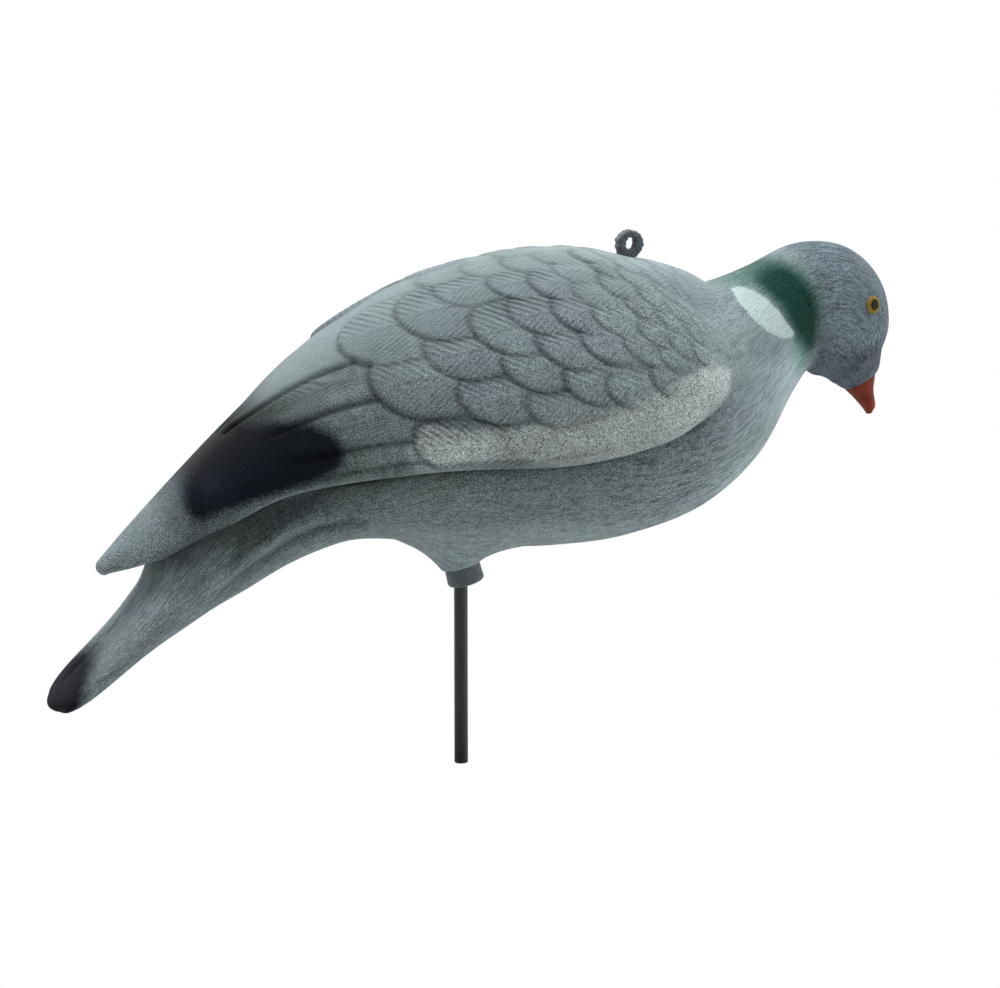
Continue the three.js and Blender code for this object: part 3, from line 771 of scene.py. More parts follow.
def barb_lay(place, owner, down, along):
    """Where a point lies on its own feather: off its shaft, along it, and how strongly
    its barbs show."""
    lay = np.zeros((len(place), 3))
    for i, feather in enumerate(feathers()):
        mine = owner == i
        off, t = on_feather(feather, place[mine], down[mine], along[mine])
        edge = 0.55 + 0.45 * smooth(0.1, 0.7, np.abs(off) / feather.half)
        shows = feather.shows * edge * (1 - 0.4 * smooth(-1, 2, off))
        lay[mine] = np.stack([off, t, shows], -1)
    for i, (start, slope, _) in enumerate(QUILL_LINES):
        mine = owner == -2 - i
        line = quill_reach(start, slope, place[mine])
        off = down[mine] - girth(place[mine], line) - 8
        shows = 0.6 * smooth(2.2, 3.2, place[mine]) * smooth(10, 22, down[mine])
        lay[mine] = np.stack([off, place[mine] * along[mine], shows], -1)
    return lay


def wing_lengths(place, reach):
    """The length of a step along the wing, in millimetres per unit, and the normal."""
    inside = np.clip(reach, -0.99, 0.99)
    inside = np.where(np.abs(inside) < 0.01, 0.01, inside)
    a, _, normal = slopes(wing_point, np.clip(place, NUDGE, LAST_WING - NUDGE), inside)
    return np.linalg.norm(a, axis=-1), normal


TOP_SHARE = 0.85  # of the columns lie on the wing's upper side
EDGE_SHARE = 0.02  # on each rolled lower edge
LIP = 0.97  # reach where the edge begins to roll under
UNDER_WIDTH = 0.93  # of the lip's half width, where the underside begins
WING_RINGS, WING_COLUMNS = 372, 256
TIP_PLACE = 0.1  # where the rounded wing tip begins
TIP_RINGS = 0.026  # share of the rings in it
TIP_PUSH = 3.4
FRONT_RINGS = 0.985  # share of the rings before the front closes
SETTLE_REACH = 14  # the wing's farthest height over the body where it still settles on it


def wing_skin(share, around):
    """Positions of the wing shell's skin, with the place and reach of each."""
    spread = [0, TIP_RINGS, 0.34, 0.93, FRONT_RINGS, 1]
    place = np.interp(share, spread, [TIP_PLACE, TIP_PLACE, 3.6, 9.0, LAST_WING, LAST_WING])
    top = around < TOP_SHARE
    reach = np.clip((around / TOP_SHARE) * 2 - 1, -1, 1) * LIP
    along, normal = wing_lengths(place, reach)
    down = girth(place, np.abs(reach))
    height, crease, owner = feather_relief(place, reach, down, along)
    point = wing_point(place, reach) + normal * height[:, None]

    def rim_point(reach):
        reach = np.full(len(place), reach)
        rim = wing_rim(place, np.abs(reach))
        return wing_point(place, reach) + wing_lengths(place, reach)[1] * rim[:, None]

    ridge = wing_point(place, np.zeros(len(place)))
    q = (around - TOP_SHARE) / (1 - TOP_SHARE)
    edge = EDGE_SHARE / (1 - TOP_SHARE)
    for side in (1, -1):
        start, corner = rim_point(side * LIP), rim_point(side * EDGE_REACH)
        under = corner + 0.02 * (ridge - corner)
        under[:, 1] = corner[:, 1] * UNDER_WIDTH
        local = q / edge if side > 0 else (1 - q) / edge
        rolled = ~top & (local < 1)
        f = np.clip(local, 0, 1)[:, None]
        curve = (1 - f) ** 2 * start + 2 * f * (1 - f) * corner + f**2 * under
        point = np.where(rolled[:, None], curve, point)
        reach = np.where(rolled, side * (LIP + (1 - LIP) * f[:, 0]), reach)
    flat = ~top & (q >= edge) & (1 - q >= edge)
    lip = rim_point(EDGE_REACH)
    width = UNDER_WIDTH * (1 - 2 * (q - edge) / (1 - 2 * edge))
    below = lip + (0.2 * (1 - np.abs(width)))[:, None] * (ridge - lip)
    below[:, 1] = lip[:, 1] * width
    point = np.where(flat[:, None], below, point)
    centre = 0.5 * (ridge + lip)
    centre[:, 1] = 0
    tip = np.clip(share / TIP_RINGS, 0, 1)
    close = np.clip((1 - share) / (1 - FRONT_RINGS), 0, 1)
    scale = np.sqrt(1 - (1 - tip) ** 2) * close
    point = drawn_in(point, centre, scale, TIP_PUSH * (1 - tip), (-0.8, 0, -0.6))
    return point, place, reach, crease, owner, down, along


def settled(point, place, reach, body_tree):
    """Lets the wings run out into the neck, the breast and the tail without an edge."""
    ridge = smooth(0.42, 0.08, np.abs(reach))
    lip = smooth(0.75, 0.9, np.abs(reach))
    run = smooth(7.6, 9.3, place - 0.75 * ridge - 0.25 * lip) * (1 - ridge)
    dip = 1.6 * smooth(8.9, 9.6, place - 0.8 * ridge) + 3 * smooth(9.5, LAST_WING, place)
    tail = band(place, 0.95, 1.3, 1.6, 3.2) * smooth(0.76, 0.97, np.abs(reach))
    run, dip = run + tail, dip + tail
    moved = point.copy()
    for i in np.flatnonzero(run > 0):
        found, normal, _, _ = body_tree.find_nearest(Vector(point[i] * MM))
        found, normal = np.array(found) / MM, np.array(normal)
        rise = float(np.dot(point[i] - found, normal))
        if abs(rise) < SETTLE_REACH:
            moved[i] = point[i] - normal * (rise * run[i] + dip[i])
    return moved


def corners(mesh):
    """For each face corner, its own vertex and the first vertex of its face."""
    own = np.empty(len(mesh.loops), int)
    mesh.loops.foreach_get("vertex_index", own)
    count = np.empty(len(mesh.polygons), int)
    mesh.polygons.foreach_get("loop_total", count)
    return own, np.repeat(own[np.cumsum(count) - count], count)


def folded_wings(finish, body_tree):
    bm, share, around = closed_skin(WING_RINGS, WING_COLUMNS)
    point, place, reach, crease, owner, down, along = wing_skin(share, around)
    upper = (around < TOP_SHARE + EDGE_SHARE) | (around > 1 - EDGE_SHARE)
    point = np.where(upper[:, None], settled(point, place, reach, body_tree), point)
    move_to(bm, point)
    wings = finish_mesh(bm, "folded_wings", finish, "pigeon_body", None)
    x, z = point[:, 0], point[:, 2]
    bar = np.minimum(outline_depth(LIGHT_BAR, x, z), above_rim(place, down))
    barbs = barb_lay(place, owner, down, along)
    # The creases' darkening: painted shade, and the flock's darker colour in them.
    note(wings, "crease", crease * upper)
    note(wings, "bar", np.where((owner < 0) & (place < 4.8), -6, bar))
    note(wings, "blotch", outline_depth(BLACK_BLOTCH, x, z))
    note(wings, "tone_and_painted_light", wing_tone_and_painted_light(place, np.abs(reach), x, z) * feather_tones(owner, barbs))
    note(wings, "grain", wing_grain(place, np.abs(reach)))
    own, first = corners(wings.data)
    lay = barb_lay(place[own], owner[first], down[own], along[first])
    note_vector(wings, "barb", lay, "CORNER")


def above_rim(place, down):
    """How far above the wing's rolled rim a point lies, where the rim shows."""
    return girth(place, RIM_TOP) - down + 20 * smooth(4.6, 5.6, place)


def wing_grain(place, reach):
    """How strongly the flock's grain shows: less on the back and at the wing tips."""
    side = 0.1 + 0.95 * smooth(0.2, 0.55, reach) + 0.15 * smooth(0.7, 0.8, reach)
    side -= (0.6 - 0.3 * smooth(4.6, 5.6, place)) * smooth(0.92, 0.95, reach)
    rear = 0.75 - 0.45 * smooth(1.8, 3.0, place) - 0.3 * smooth(4.0, 4.8, place)
    side = np.maximum(np.maximum(side, rear), 0.4 * smooth(6.5, 8, place))
    return side * (1 + 0.1 * smooth(3.2, 1.5, place)) * (1 - 0.4 * smooth(7.5, 9, place))


def wing_tone_and_painted_light(place, reach, x, z):
    """Broad lighter and darker areas of the wings' grey, most of them painted highlights and
    painted shade.
    """
    # A painted highlight along the top of the wings, where the light falls from above.
    top = (0.29 + 0.05 * smooth(6.5, 8, place)) * smooth(0.38, 0.06, reach)
    top *= smooth(1.8, 3.2, place)
    # A painted highlight on the rolled rim; painted shade above the lower edge near the wing tip
    # and under the roll.
    rim = 0.45 * smooth(0.89, 0.96, reach) * band(place, 1.9, 2.6, 2.8, 3.7)
    rim -= 0.32 * smooth(0.66, 0.95, reach) * band(place, 0.7, 1.3, 2.0, 2.8)
    rim -= 0.12 * smooth(0.93, 0.96, reach) * band(place, 3.2, 4.0, 4.8, 5.6)
    # Darker over the rear of the wing.
    rear = -0.09 * band(place, 0.9, 1.8, 3.3, 4.1)
    rear -= 0.2 * band(place, 1.5, 2.6, 3.9, 4.6) * bell(reach - 0.42, 0.3)
    bar = smooth(-1, 1, outline_depth(LIGHT_BAR, x, z))
    bar *= 0.5 * smooth(5, -25, x) + 0.2 * smooth(65, 90, x)
    # A dark line along the upper quill: partly dark paint, partly painted shade in its crease.
    quill = 0.75 * bell(line_distance(DARK_QUILL, x, z), 3.2) * smooth(-70, -96, x)
    ridge = 0.66 * bell(line_distance(DARK_RIDGE, x, z), 4.5)
    blotch = outline_depth(BLACK_BLOTCH, x, z)
    # Darker round the blotch, with a paler spot in it.
    halo = 0.16 * smooth(-16, -1, blotch) * smooth(-118, -95, x)
    halo += 0.38 * smooth(-13, -3, blotch) * smooth(137, 131, z) * smooth(-114, -126, x)
    halo -= 0.7 * bell(np.hypot(x - PALE_SPOT[0], z - PALE_SPOT[1]), 6)
    return (1 + top + rim + rear + bar) * (1 - quill) * (1 - ridge) * (1 - halo)


# The body


NOTCH_END = -139
WEB_SINK = 2.5
WEB_SPREAD = 9
BODY_RINGS, BODY_COLUMNS = 330, 256
END_RINGS = 0.02  # share of the rings in each rounded end
TAIL_PUSH = 2.2
GROOVE_DEPTH = 1.0
FOLD_DEPTH = 1.9
SWELL_HEIGHT = 1.6


def body_skin(share, around):
    """Positions of the body's skin, with the place and angle of each and how deep it lies
    in a fold."""
    spread = [0, END_RINGS, 0.36, 0.52, 0.7, 1 - END_RINGS, 1]
    place = np.interp(share, spread, [0, 0, 7.4, 9.6, 13, LAST_BODY, LAST_BODY])
    turn = 2 * np.pi * around
    angle = turn + 0.3 * np.sin(turn)
    point = body_surface(place, angle)
    _, _, normal = slopes(body_surface, np.clip(place, NUDGE, LAST_BODY - NUDGE), angle)
    x, _, z = point.T
    signed = (angle + np.pi) % (2 * np.pi) - np.pi
    groove = GROOVE_DEPTH * bell(signed * 20, 2.2) * band(place, 1.0, 2.2, 4, 5)
    side = smooth(0.5, 1.0, np.abs(signed)) * smooth(0.3, 0.75, np.pi - np.abs(signed))
    away = line_distance(FLANK_CREASE, x, z)
    below = height_over(FLANK_CREASE, x, z) < 0
    swell = SWELL_HEIGHT * bell(away - 5.5, 4.0) * below * side * smooth(-122, -100, x)
    fold = bell(away, 2.4) * side * smooth(-128, -108, x)
    fold = np.maximum(fold, 0.7 * bell(line_distance(TAIL_LINE, x, z), 1.5) * side)
    point = point + normal * (swell - FOLD_DEPTH * fold - groove)[:, None]
    back = body_surface(place, np.zeros(len(place)))
    centre = 0.5 * (back + body_surface(place, np.full(len(place), np.pi)))
    tail = np.clip(share / END_RINGS, 0, 1)
    face = np.clip((1 - share) / END_RINGS, 0, 1)
    scale = tail * np.sqrt(1 - (1 - face) ** 2)
    point = drawn_in(point, centre, scale, TAIL_PUSH * (1 - tail**2), (-0.9, 0, -0.4))
    point = with_boss(with_web(point, signed), signed, place)
    return point, place, signed, fold


def with_web(point, signed):
    """Raises the tail's root to the wing above it, so that the notch between them is short."""
    x, y, z = point.T
    lip = WING_SECTIONS[:4, 2] * BIRD_LENGTH
    level = np.interp(x, lip, BELLY_LEVEL + WING_SECTIONS[:4, 3] * BIRD_HEIGHT) + WEB_SINK
    half = np.interp(x, lip, WING_SECTIONS[:4, 5] * BIRD_WIDTH)
    start = smooth(NOTCH_END - 2, NOTCH_END + 6, x) * smooth(-100, -112, x)
    across = smooth(1, 0, (np.abs(y) - 0.55 * half) / (0.45 * half + WEB_SPREAD))
    rise = np.maximum(level - z, 0) * start * across * (np.abs(signed) < math.pi / 2)
    return np.stack([x, y, z + rise], -1)


def with_boss(point, signed, place):
    """Pulls the belly down into the boss that holds the collar."""
    x, y = point[:, 0], point[:, 1]
    rim = COLLAR_RADIUS + FIT + BOSS_LIP
    radius = np.hypot(x, y)
    under = (np.abs(signed) > np.pi / 2) & (place > 5) & (place < 12)
    on_rim = under & (np.abs(radius - rim) < 0.75)
    factor = np.where(on_rim, rim / np.maximum(radius, 1e-6), 1)
    x, y = x * factor, y * factor
    radius = np.hypot(x, y)
    cosine = x / np.maximum(radius, 1e-6)
    low = COLLAR_TOP + rim * cosine * math.tan(COLLAR_TILT)
    flare = 1 - np.exp(np.minimum(rim - radius, 0) / BOSS_SPREAD)
    boss = low + flare * (point[:, 2] + BOSS_BURY - low)
    boss = np.where(radius < rim + 1e-6, COLLAR_TOP + x * math.tan(COLLAR_TILT), boss)
    runs_out = smooth(BOSS_REACH, BOSS_REACH * 0.6, radius)
    boss = boss + (1 - runs_out) * np.maximum(point[:, 2] - boss, 0)
    z = np.where(under & (radius < BOSS_REACH), np.minimum(point[:, 2], boss), point[:, 2])
    return np.stack([x, y, z], -1)


def round_throat(bm):
    """Softens the turn between breast and chin."""
    away = {v: math.hypot(v.co.x - THROAT[0] * MM, v.co.z - THROAT[1] * MM) for v in bm.verts}
    for reach in (7, 5.5, 4, 3):
        near = [v for v, distance in away.items() if distance < reach * MM]
        for _ in range(2):
            bmesh.ops.smooth_vert(bm, verts=near, factor=0.5, use_axis_x=True,
                                  use_axis_y=True, use_axis_z=True)


def bird_body(finish):
    bm, share, around = closed_skin(BODY_RINGS, BODY_COLUMNS)
    point, place, signed, fold = body_skin(share, around)
    move_to(bm, point)
    round_throat(bm)
    bmesh.ops.recalc_face_normals(bm, faces=bm.faces)
    tree = BVHTree.FromBMesh(bm)
    body = finish_mesh(bm, "bird_body", finish, "pigeon_body", None)
    x, y, z = point.T
    for mark, outline in (("white", WHITE_PATCH), ("green", GREEN_PATCH),
                          ("green_tint", GREEN_TINT), ("bar", LIGHT_BAR)):
        note(body, mark, outline_depth(outline, x, z))
    under = 4 * smooth(1.3, 2.4, np.abs(signed))
    note(body, "tail_tip", TAIL_TIP_END - 0.022 * y**2 - x - under)
    note(body, "tone_and_painted_light", body_tone_and_painted_light(x, z, fold))
    note(body, "grain", body_grain(x, z))
    note(body, "strokes", body_strokes(x, z))
    steps = np.diff((BODY_SECTIONS[:, :2] + BODY_SECTIONS[:, 2:4]) / 2, axis=0)
    steps = np.hypot(steps[:, 0] * BIRD_LENGTH, steps[:, 1] * BIRD_HEIGHT)
    along = np.interp(place, np.arange(LAST_BODY + 1), np.cumsum(np.r_[0, steps]))
    note_vector(body, "lay", np.stack([along, np.abs(signed) * 40, 0 * along], -1))
    return tree


def body_grain(x, z):
    """How strongly the flock's grain shows: less on neck and breast, more on the flanks."""
    neck = smooth(85, 125, x) * (1 - 0.75 * smooth(148, 160, x))
    return (1.2 - 1.02 * neck) * (1 - 0.35 * smooth(125, 100, z))


def body_strokes(x, z):
    """How strongly the brushed strokes show: on head, lower breast and tail more."""
    breast = bell(z - 122, 30) * smooth(20, 80, x)
    return 0.3 + 0.25 * smooth(146, 156, x) + 0.35 * breast + 0.15 * smooth(-80, -120, x)


def body_tone_and_painted_light(x, z, fold):
    """Broad lighter and darker areas of the body's grey, most of them painted shade and painted
    highlights.
    """
    # Painted shade under the wing's lip and over the rump between the lip and the flank's fold.
    lip = line_distance(WING_LIP, x, z)
    under = height_over(WING_LIP, x, z) < 1
    shade = 0.5 + 0.2 * smooth(-20, -70, x) + 0.35 * bell(lip, 1.3)
    shade *= np.exp(-np.maximum(lip - 1.5, 0) / (6 + 4 * smooth(-40, -100, x)))
    shade *= smooth(110, 90, x)
    rump = 0.7 * np.exp(-np.maximum(lip - 5.5, 0) / 12)
    rump = np.maximum(rump, 0.72 * smooth(-120, -108, x)) * (1 - 0.4 * bell(lip, 1.5))
    rump *= smooth(3, 10.5, height_over(FLANK_CREASE, x, z))
    shade = under * (shade + (rump - shade) * smooth(-62, -85, x))
    # Painted shade on the upper flank below the wing.
    flank = 0.26 * smooth(106, 120, z) * smooth(115, 85, x)
    # Painted highlights along the breast and lower neck, and on the underside of the belly.
    breast = line_distance(BREAST_HIGHLIGHT, x, z)
    neck = band(z, 142, 160, 172, 184) * smooth(156, 149, x)
    pale = 0.32 * smooth(18, 4, breast) * smooth(105, 130, z)
    pale += 0.42 * smooth(36, 12, breast) * neck
    pale += 0.2 * smooth(116, 100, z) * band(x, -60, -10, 55, 90)
    # Darker over the face and the cheek.
    face = 0.3 * smooth(148, 160, x) + 0.24 * smooth(156, 166, x) * smooth(182, 173, z)
    face += 0.1 * smooth(186, 198, z) * smooth(152, 164, x)
    face += 0.28 * bell(np.hypot(x - CHEEK[0], z - CHEEK[1]), 8)
    # The folds get painted shade in them.
    return (1 - 0.35 * fold) * (1 - shade) * (1 + pale - flank) * (1 - face)


BEAK_RINGS, BEAK_COLUMNS = 48, 48
BEAK_ROOT = 0.05  # share of the rings in the closed root
BEAK_TIP = 0.1  # share of the rings in the rounded tip
BEAK_PUSH = 0.9


def beak(finish):
    bm, share, around = closed_skin(BEAK_RINGS, BEAK_COLUMNS)
    last = len(BEAK_SECTIONS) - 1
    place = np.interp(share, [0, BEAK_ROOT, 1 - BEAK_TIP, 1], [0, 0, last, last])
    point = body_point(BEAK_SECTIONS, place, 2 * np.pi * around)
    top = body_point(BEAK_SECTIONS, place, np.zeros(len(place)))
    keel = body_point(BEAK_SECTIONS, place, np.full(len(place), np.pi))
    tip = np.clip((1 - share) / BEAK_TIP, 0, 1)
    root = np.clip(share / BEAK_ROOT, 0, 1)
    scale = np.sqrt(1 - (1 - tip) ** 2) * root
    move_to(bm, drawn_in(point, (top + keel) / 2, scale, BEAK_PUSH * (1 - tip), (0, 0, -1)))
    finish_mesh(bm, "beak", finish, "pigeon_body", None)


EYE_PLACE = 17.45
EYE_ANGLE = math.radians(72)
EYE_RIM_RADIUS, EYE_RIM_WIDTH, EYE_RIM_HEIGHT = 2.9, 0.7, 0.12
PUPIL_RADIUS, PUPIL_DEPTH = 1.7, 0.05


def eye_seat():
    place, angle = np.array([EYE_PLACE]), np.array([EYE_ANGLE])
    return body_surface(place, angle)[0], slopes(body_surface, place, angle)[2][0]


def eye(side, finish):
    """A shallow dome with a low rim on it and a dished pupil."""
    middle, normal = eye_seat()
    radius = EYE_DIAMETER / 2
    bm = bmesh.new()
    bmesh.ops.create_uvsphere(bm, u_segments=48, v_segments=24, radius=radius)
    for vertex in bm.verts:
        flat = Vector((vertex.co.x, vertex.co.y)).length
        rise = EYE_RIM_HEIGHT * bell(flat - EYE_RIM_RADIUS, EYE_RIM_WIDTH)
        rise -= PUPIL_DEPTH * bell(flat, PUPIL_RADIUS)
        vertex.co.z *= 2 * EYE_BULGE / EYE_DIAMETER
        vertex.co.z += rise * (1 if vertex.co.z > 0 else 0)
    turn = Vector((0, 0, 1)).rotation_difference(Vector(normal)).to_matrix().to_4x4()
    place = Matrix.Translation(Vector(middle)) @ turn
    bmesh.ops.transform(bm, matrix=place, verts=bm.verts)
    bmesh.ops.scale(bm, vec=(MM, MM * side, MM), verts=bm.verts)
    name = "eye_right" if side > 0 else "eye_left"
    return finish_mesh(bm, name, finish, "pigeon_body", None)


# The collar, the stake and the hanging ring


COLLAR_SIDES = 96
BORE_EDGE = 0.3  # the collar's eased inner edge
STAKE_SIDES = 64
STAKE_EDGE = 0.25  # the stake's eased ends


def turned(profile, steps):
    """A closed profile of (radius, height) points from axis to axis, spun about +Z."""
    bm = bmesh.new()
    verts = [bm.verts.new((r * MM, 0, h * MM)) for r, h in profile]
    edges = [bm.edges.new(pair) for pair in zip(verts, verts[1:])]
    bmesh.ops.spin(bm, geom=verts + edges, cent=(0, 0, 0), axis=(0, 0, 1),
                   angle=2 * math.pi, steps=steps, use_merge=True)
    bmesh.ops.remove_doubles(bm, verts=bm.verts, dist=1e-6)
    return bm


def stake_collar(finish):
    foot = COLLAR_RADIUS + COLLAR_FLARE
    bore = STAKE_RADIUS + FIT
    profile = [(bore, COLLAR_SEAT), (bore, -COLLAR_SHOWS + BORE_EDGE)]
    profile.append((bore + BORE_EDGE, -COLLAR_SHOWS))
    for i in range(9):
        turn = math.pi / 2 * i / 8
        profile.append((foot - COLLAR_EDGE * (1 - math.sin(turn)),
                        -COLLAR_SHOWS + COLLAR_EDGE * (1 - math.cos(turn))))
    for h in (-5.5, -4, -2.5, -1):
        profile.append((foot - COLLAR_FLARE * (h + COLLAR_SHOWS) / COLLAR_SHOWS, h))
    profile += [(COLLAR_RADIUS, 0), (COLLAR_RADIUS, COLLAR_SEAT), (bore, COLLAR_SEAT)]
    bm = turned(profile, COLLAR_SIDES)
    half = COLLAR_SEAT / 2 * MM
    lean = Matrix.Translation((0, 0, COLLAR_TOP * MM + half))
    lean = lean @ Matrix.Rotation(-COLLAR_TILT, 4, "Y") @ Matrix.Translation((0, 0, -half))
    bmesh.ops.transform(bm, matrix=lean, verts=bm.verts)
    return finish_mesh(bm, "collar", finish, "stake_collar")


def ground_stake(finish):
    inner = STAKE_RADIUS - STAKE_EDGE
    profile = [(0, 0), (inner, 0), (STAKE_RADIUS, STAKE_EDGE)]
    profile += [(STAKE_RADIUS, h) for h in range(8, int(STAKE_TOP) - 4, 8)]
    profile += [(STAKE_RADIUS, STAKE_TOP - STAKE_EDGE), (inner, STAKE_TOP), (0, STAKE_TOP)]
    bm = turned(profile, STAKE_SIDES)
    return finish_mesh(bm, "ground_stake", finish, "stake", math.radians(30))


def ring_seat():
    """Where the ring's middle stands over the back, and how far it leans with it."""
    low, high = 4.0, 10.0  # places of the wing behind the ring and before it
    for _ in range(30):
        middle = (low + high) / 2
        if wing_point(np.array([middle]), np.array([0.0]))[0][0] < RING_PLACE * BIRD_LENGTH:
            low = middle
        else:
            high = middle
    place = np.array([low])
    _, _, normal = slopes(wing_point, place, np.array([0.0]))
    seat = wing_point(place, np.array([0.0]))[0] + normal[0] * (RING_DIAMETER / 2 - RING_SINK)
    return seat, math.atan2(normal[0][0], normal[0][2])


RING_SIDES = 40
RING_EASE = 0.9  # width of the bevel along its edges
RING_ROUGH = 0.26
RING_WAVE = 0.12


def ring_outline(turn):
    """A point of the ring's outer outline, which is cut off flat and wide at its foot."""
    radius, half_foot = RING_DIAMETER / 2, RING_FOOT_WIDTH / 2
    foot = math.asin(half_foot / radius)
    if math.cos(turn) > math.cos(foot):
        return half_foot * math.sin(turn) / math.sin(foot), -radius
    return radius * math.sin(turn), -radius * math.cos(turn)


def flat_ring(y):
    """A flat ring with an upright oval hole, standing across the Y axis."""
    bm = bmesh.new()
    outer, inner = [], []
    for i in range(RING_SIDES):
        turn = 2 * math.pi * i / RING_SIDES
        x, z = ring_outline(turn)
        outer.append(bm.verts.new((x, y, z)))
        x, z = RING_HOLE_WIDTH / 2 * math.sin(turn), -RING_HOLE_HEIGHT / 2 * math.cos(turn)
        inner.append(bm.verts.new((x, y, z)))
    loops = []
    for loop in (outer, inner):
        loops += [bm.edges.new((a, b)) for a, b in zip(loop, loop[1:] + loop[:1])]
    return bm, bmesh.ops.bridge_loops(bm, edges=loops)["faces"]


def roughened(bm):
    """Gives the ring the uneven outline and sides of a flocked moulding."""
    for v in bm.verts:
        x, y, z = v.co
        rough = math.sin(2.1 * x + 1.3) * math.sin(1.7 * z + 0.4)
        rough += 0.6 * math.sin(3.9 * x + 2.3 * z + 1.9 * y)
        flat = Vector((x, 0, z))
        if flat.length > 1e-6:
            v.co += flat.normalized() * RING_ROUGH * rough
        v.co.y += RING_WAVE * math.sin(3.1 * z + 2.2 * x) * (1 if y > 0 else -1)


def hanging_ring(finish):
    """A ring on a foot that runs into the back, with a rough flocked edge."""
    bm, faces = flat_ring(-RING_THICKNESS / 2)
    side = bmesh.ops.extrude_face_region(bm, geom=faces)
    moved = [v for v in side["geom"] if isinstance(v, bmesh.types.BMVert)]
    bmesh.ops.translate(bm, vec=(0, RING_THICKNESS, 0), verts=moved)
    bmesh.ops.recalc_face_normals(bm, faces=bm.faces)
    rims = [e for e in bm.edges if len(e.link_faces) == 2 and e.calc_face_angle() > 1]
    bmesh.ops.bevel(bm, geom=rims, offset=RING_EASE, offset_type="OFFSET", segments=3,
                    affect="EDGES", profile=0.5, material=-1)
    bmesh.ops.subdivide_edges(bm, edges=bm.edges, cuts=1, use_grid_fill=True)
    roughened(bm)
    seat, lean = ring_seat()
    bmesh.ops.rotate(bm, cent=(0, 0, 0), matrix=Matrix.Rotation(lean, 3, "Y"), verts=bm.verts)
    bmesh.ops.translate(bm, vec=(seat[0], 0, seat[2]), verts=bm.verts)
    bmesh.ops.scale(bm, vec=(MM, MM, MM), verts=bm.verts)
    return finish_mesh(bm, "back_ring", finish, "hanging_ring", math.radians(70))


# The studio

CAMERA_TURN = math.radians(-20)
CAMERA_RISE = math.radians(10)
CAMERA_AWAY = 1400
CAMERA_TARGET = (18.23, 0, 119.06)
CAMERA_LENS = 115.33
FLOOR_RADIUS = 4
FLOOR_LEVEL = -0.0002  # just below the stake's end
FLOOR_GREY = 0.62
# Strength of the room's light from the camera's side and from behind the bird.
ROOM_NEAR = 0.22
ROOM_FAR = 1.15


def studio_camera():
    s, c = math.sin(CAMERA_TURN), math.cos(CAMERA_TURN)
    rise, level = math.sin(CAMERA_RISE), math.cos(CAMERA_RISE)
    back = Vector((s * level, -c * level, rise))
    right = Vector((c, s, 0))
    up = Vector((-rise * s, rise * c, level))
    data = bpy.data.cameras.new("camera")
    data.lens = CAMERA_LENS
    data.sensor_width = 36
    data.sensor_fit = "HORIZONTAL"
    data.clip_end = 50
    camera = bpy.data.objects.new("camera", data)
    turn = Matrix((right, up, back)).transposed().to_4x4()
    camera.matrix_world = Matrix.Translation(
        (Vector(CAMERA_TARGET) + back * CAMERA_AWAY) * MM) @ turn
    bpy.context.collection.objects.link(camera)
    bpy.context.scene.camera = camera


def soft_light(name, place, aim, size, power):
    data = bpy.data.lights.new(name, "AREA")
    data.shape = "DISK"
    data.size = size
    data.energy = power
    lamp = bpy.data.objects.new(name, data)
    lamp.location = place
    away = Vector(place) - Vector(aim)
    lamp.rotation_euler = away.to_track_quat("Z", "Y").to_euler()
    bpy.context.collection.objects.link(lamp)


def white_to_the_eye(tree, lit):
    """Shows a surface as plain white while it lights the bird as its own shader does."""
    seen = tree.nodes.new("ShaderNodeEmission")
    seen.inputs["Color"].default_value = (1, 1, 1, 1)
    seen.inputs["Strength"].default_value = 1
    path = tree.nodes.new("ShaderNodeLightPath")
    mix = tree.nodes.new("ShaderNodeMixShader")
    tree.links.new(path.outputs["Is Camera Ray"], mix.inputs[0])
    tree.links.new(lit, mix.inputs[1])
    tree.links.new(seen.outputs[0], mix.inputs[2])
    return mix.outputs[0]


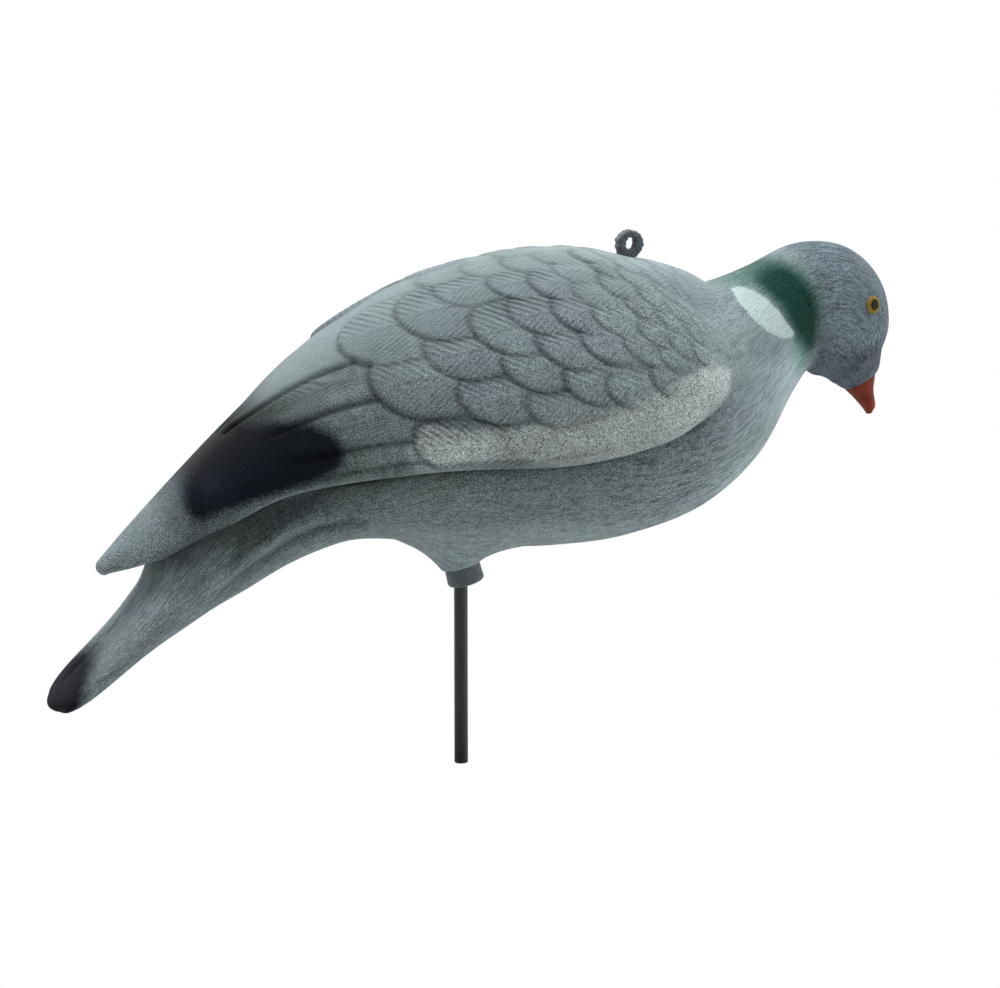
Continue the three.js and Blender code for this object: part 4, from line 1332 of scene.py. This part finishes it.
def pale_floor():
    bm = bmesh.new()
    bmesh.ops.create_circle(bm, cap_ends=True, segments=96, radius=FLOOR_RADIUS)
    mesh = bpy.data.meshes.new("floor")
    bm.to_mesh(mesh)
    bm.free()
    floor = bpy.data.objects.new("floor", mesh)
    floor.location.z = FLOOR_LEVEL
    bpy.context.collection.objects.link(floor)
    pale = bpy.data.materials.new("pale_floor")
    tree = emptied(pale)
    matte = tree.nodes.new("ShaderNodeBsdfDiffuse")
    matte.inputs["Color"].default_value = (FLOOR_GREY, FLOOR_GREY, FLOOR_GREY, 1)
    out = tree.nodes.new("ShaderNodeOutputMaterial")
    tree.links.new(white_to_the_eye(tree, matte.outputs[0]), out.inputs["Surface"])
    mesh.materials.append(pale)


def white_room():
    """Soft light from all round, stronger from behind the bird."""
    world = bpy.data.worlds.new("white_room")
    bpy.context.scene.world = world
    tree = emptied(world)
    room = tree.nodes.new("ShaderNodeBackground")
    room.inputs["Color"].default_value = (1, 1, 1, 1)
    toward = tree.nodes.new("ShaderNodeTexCoord")
    apart = tree.nodes.new("ShaderNodeSeparateXYZ")
    tree.links.new(toward.outputs["Generated"], apart.inputs[0])
    strength = tree.nodes.new("ShaderNodeMapRange")
    tree.links.new(apart.outputs["Y"], strength.inputs["Value"])
    for name, value in (("From Min", -0.8), ("From Max", 0.6),
                        ("To Min", ROOM_NEAR), ("To Max", ROOM_FAR)):
        strength.inputs[name].default_value = value
    tree.links.new(strength.outputs[0], room.inputs["Strength"])
    out = tree.nodes.new("ShaderNodeOutputWorld")
    tree.links.new(white_to_the_eye(tree, room.outputs[0]), out.inputs["Surface"])


def studio():
    pale_floor()
    white_room()
    soft_light("overhead", (0.1, 0.1, 1.5), (0, 0, 0.15), 1.3, 31)
    soft_light("front_fill", (1.3, -0.35, 0.35), (0.1, 0, 0.15), 0.8, 9)
    bpy.context.scene.view_settings.view_transform = "Standard"


body_finish = flock_for_body()
wing_finish = flock_for_wings()
eye_finish = eye_paint(eye_seat()[0])
body_tree = bird_body(body_finish)
folded_wings(wing_finish, body_tree)
beak(beak_paint())
eye(1, eye_finish)
eye(-1, eye_finish)
stake_collar(dark_plastic("collar_plastic", 80, 90, 94))
ground_stake(stake_paint())
hanging_ring(dark_plastic("ring_plastic", 80, 88, 94))
studio_camera()
studio()
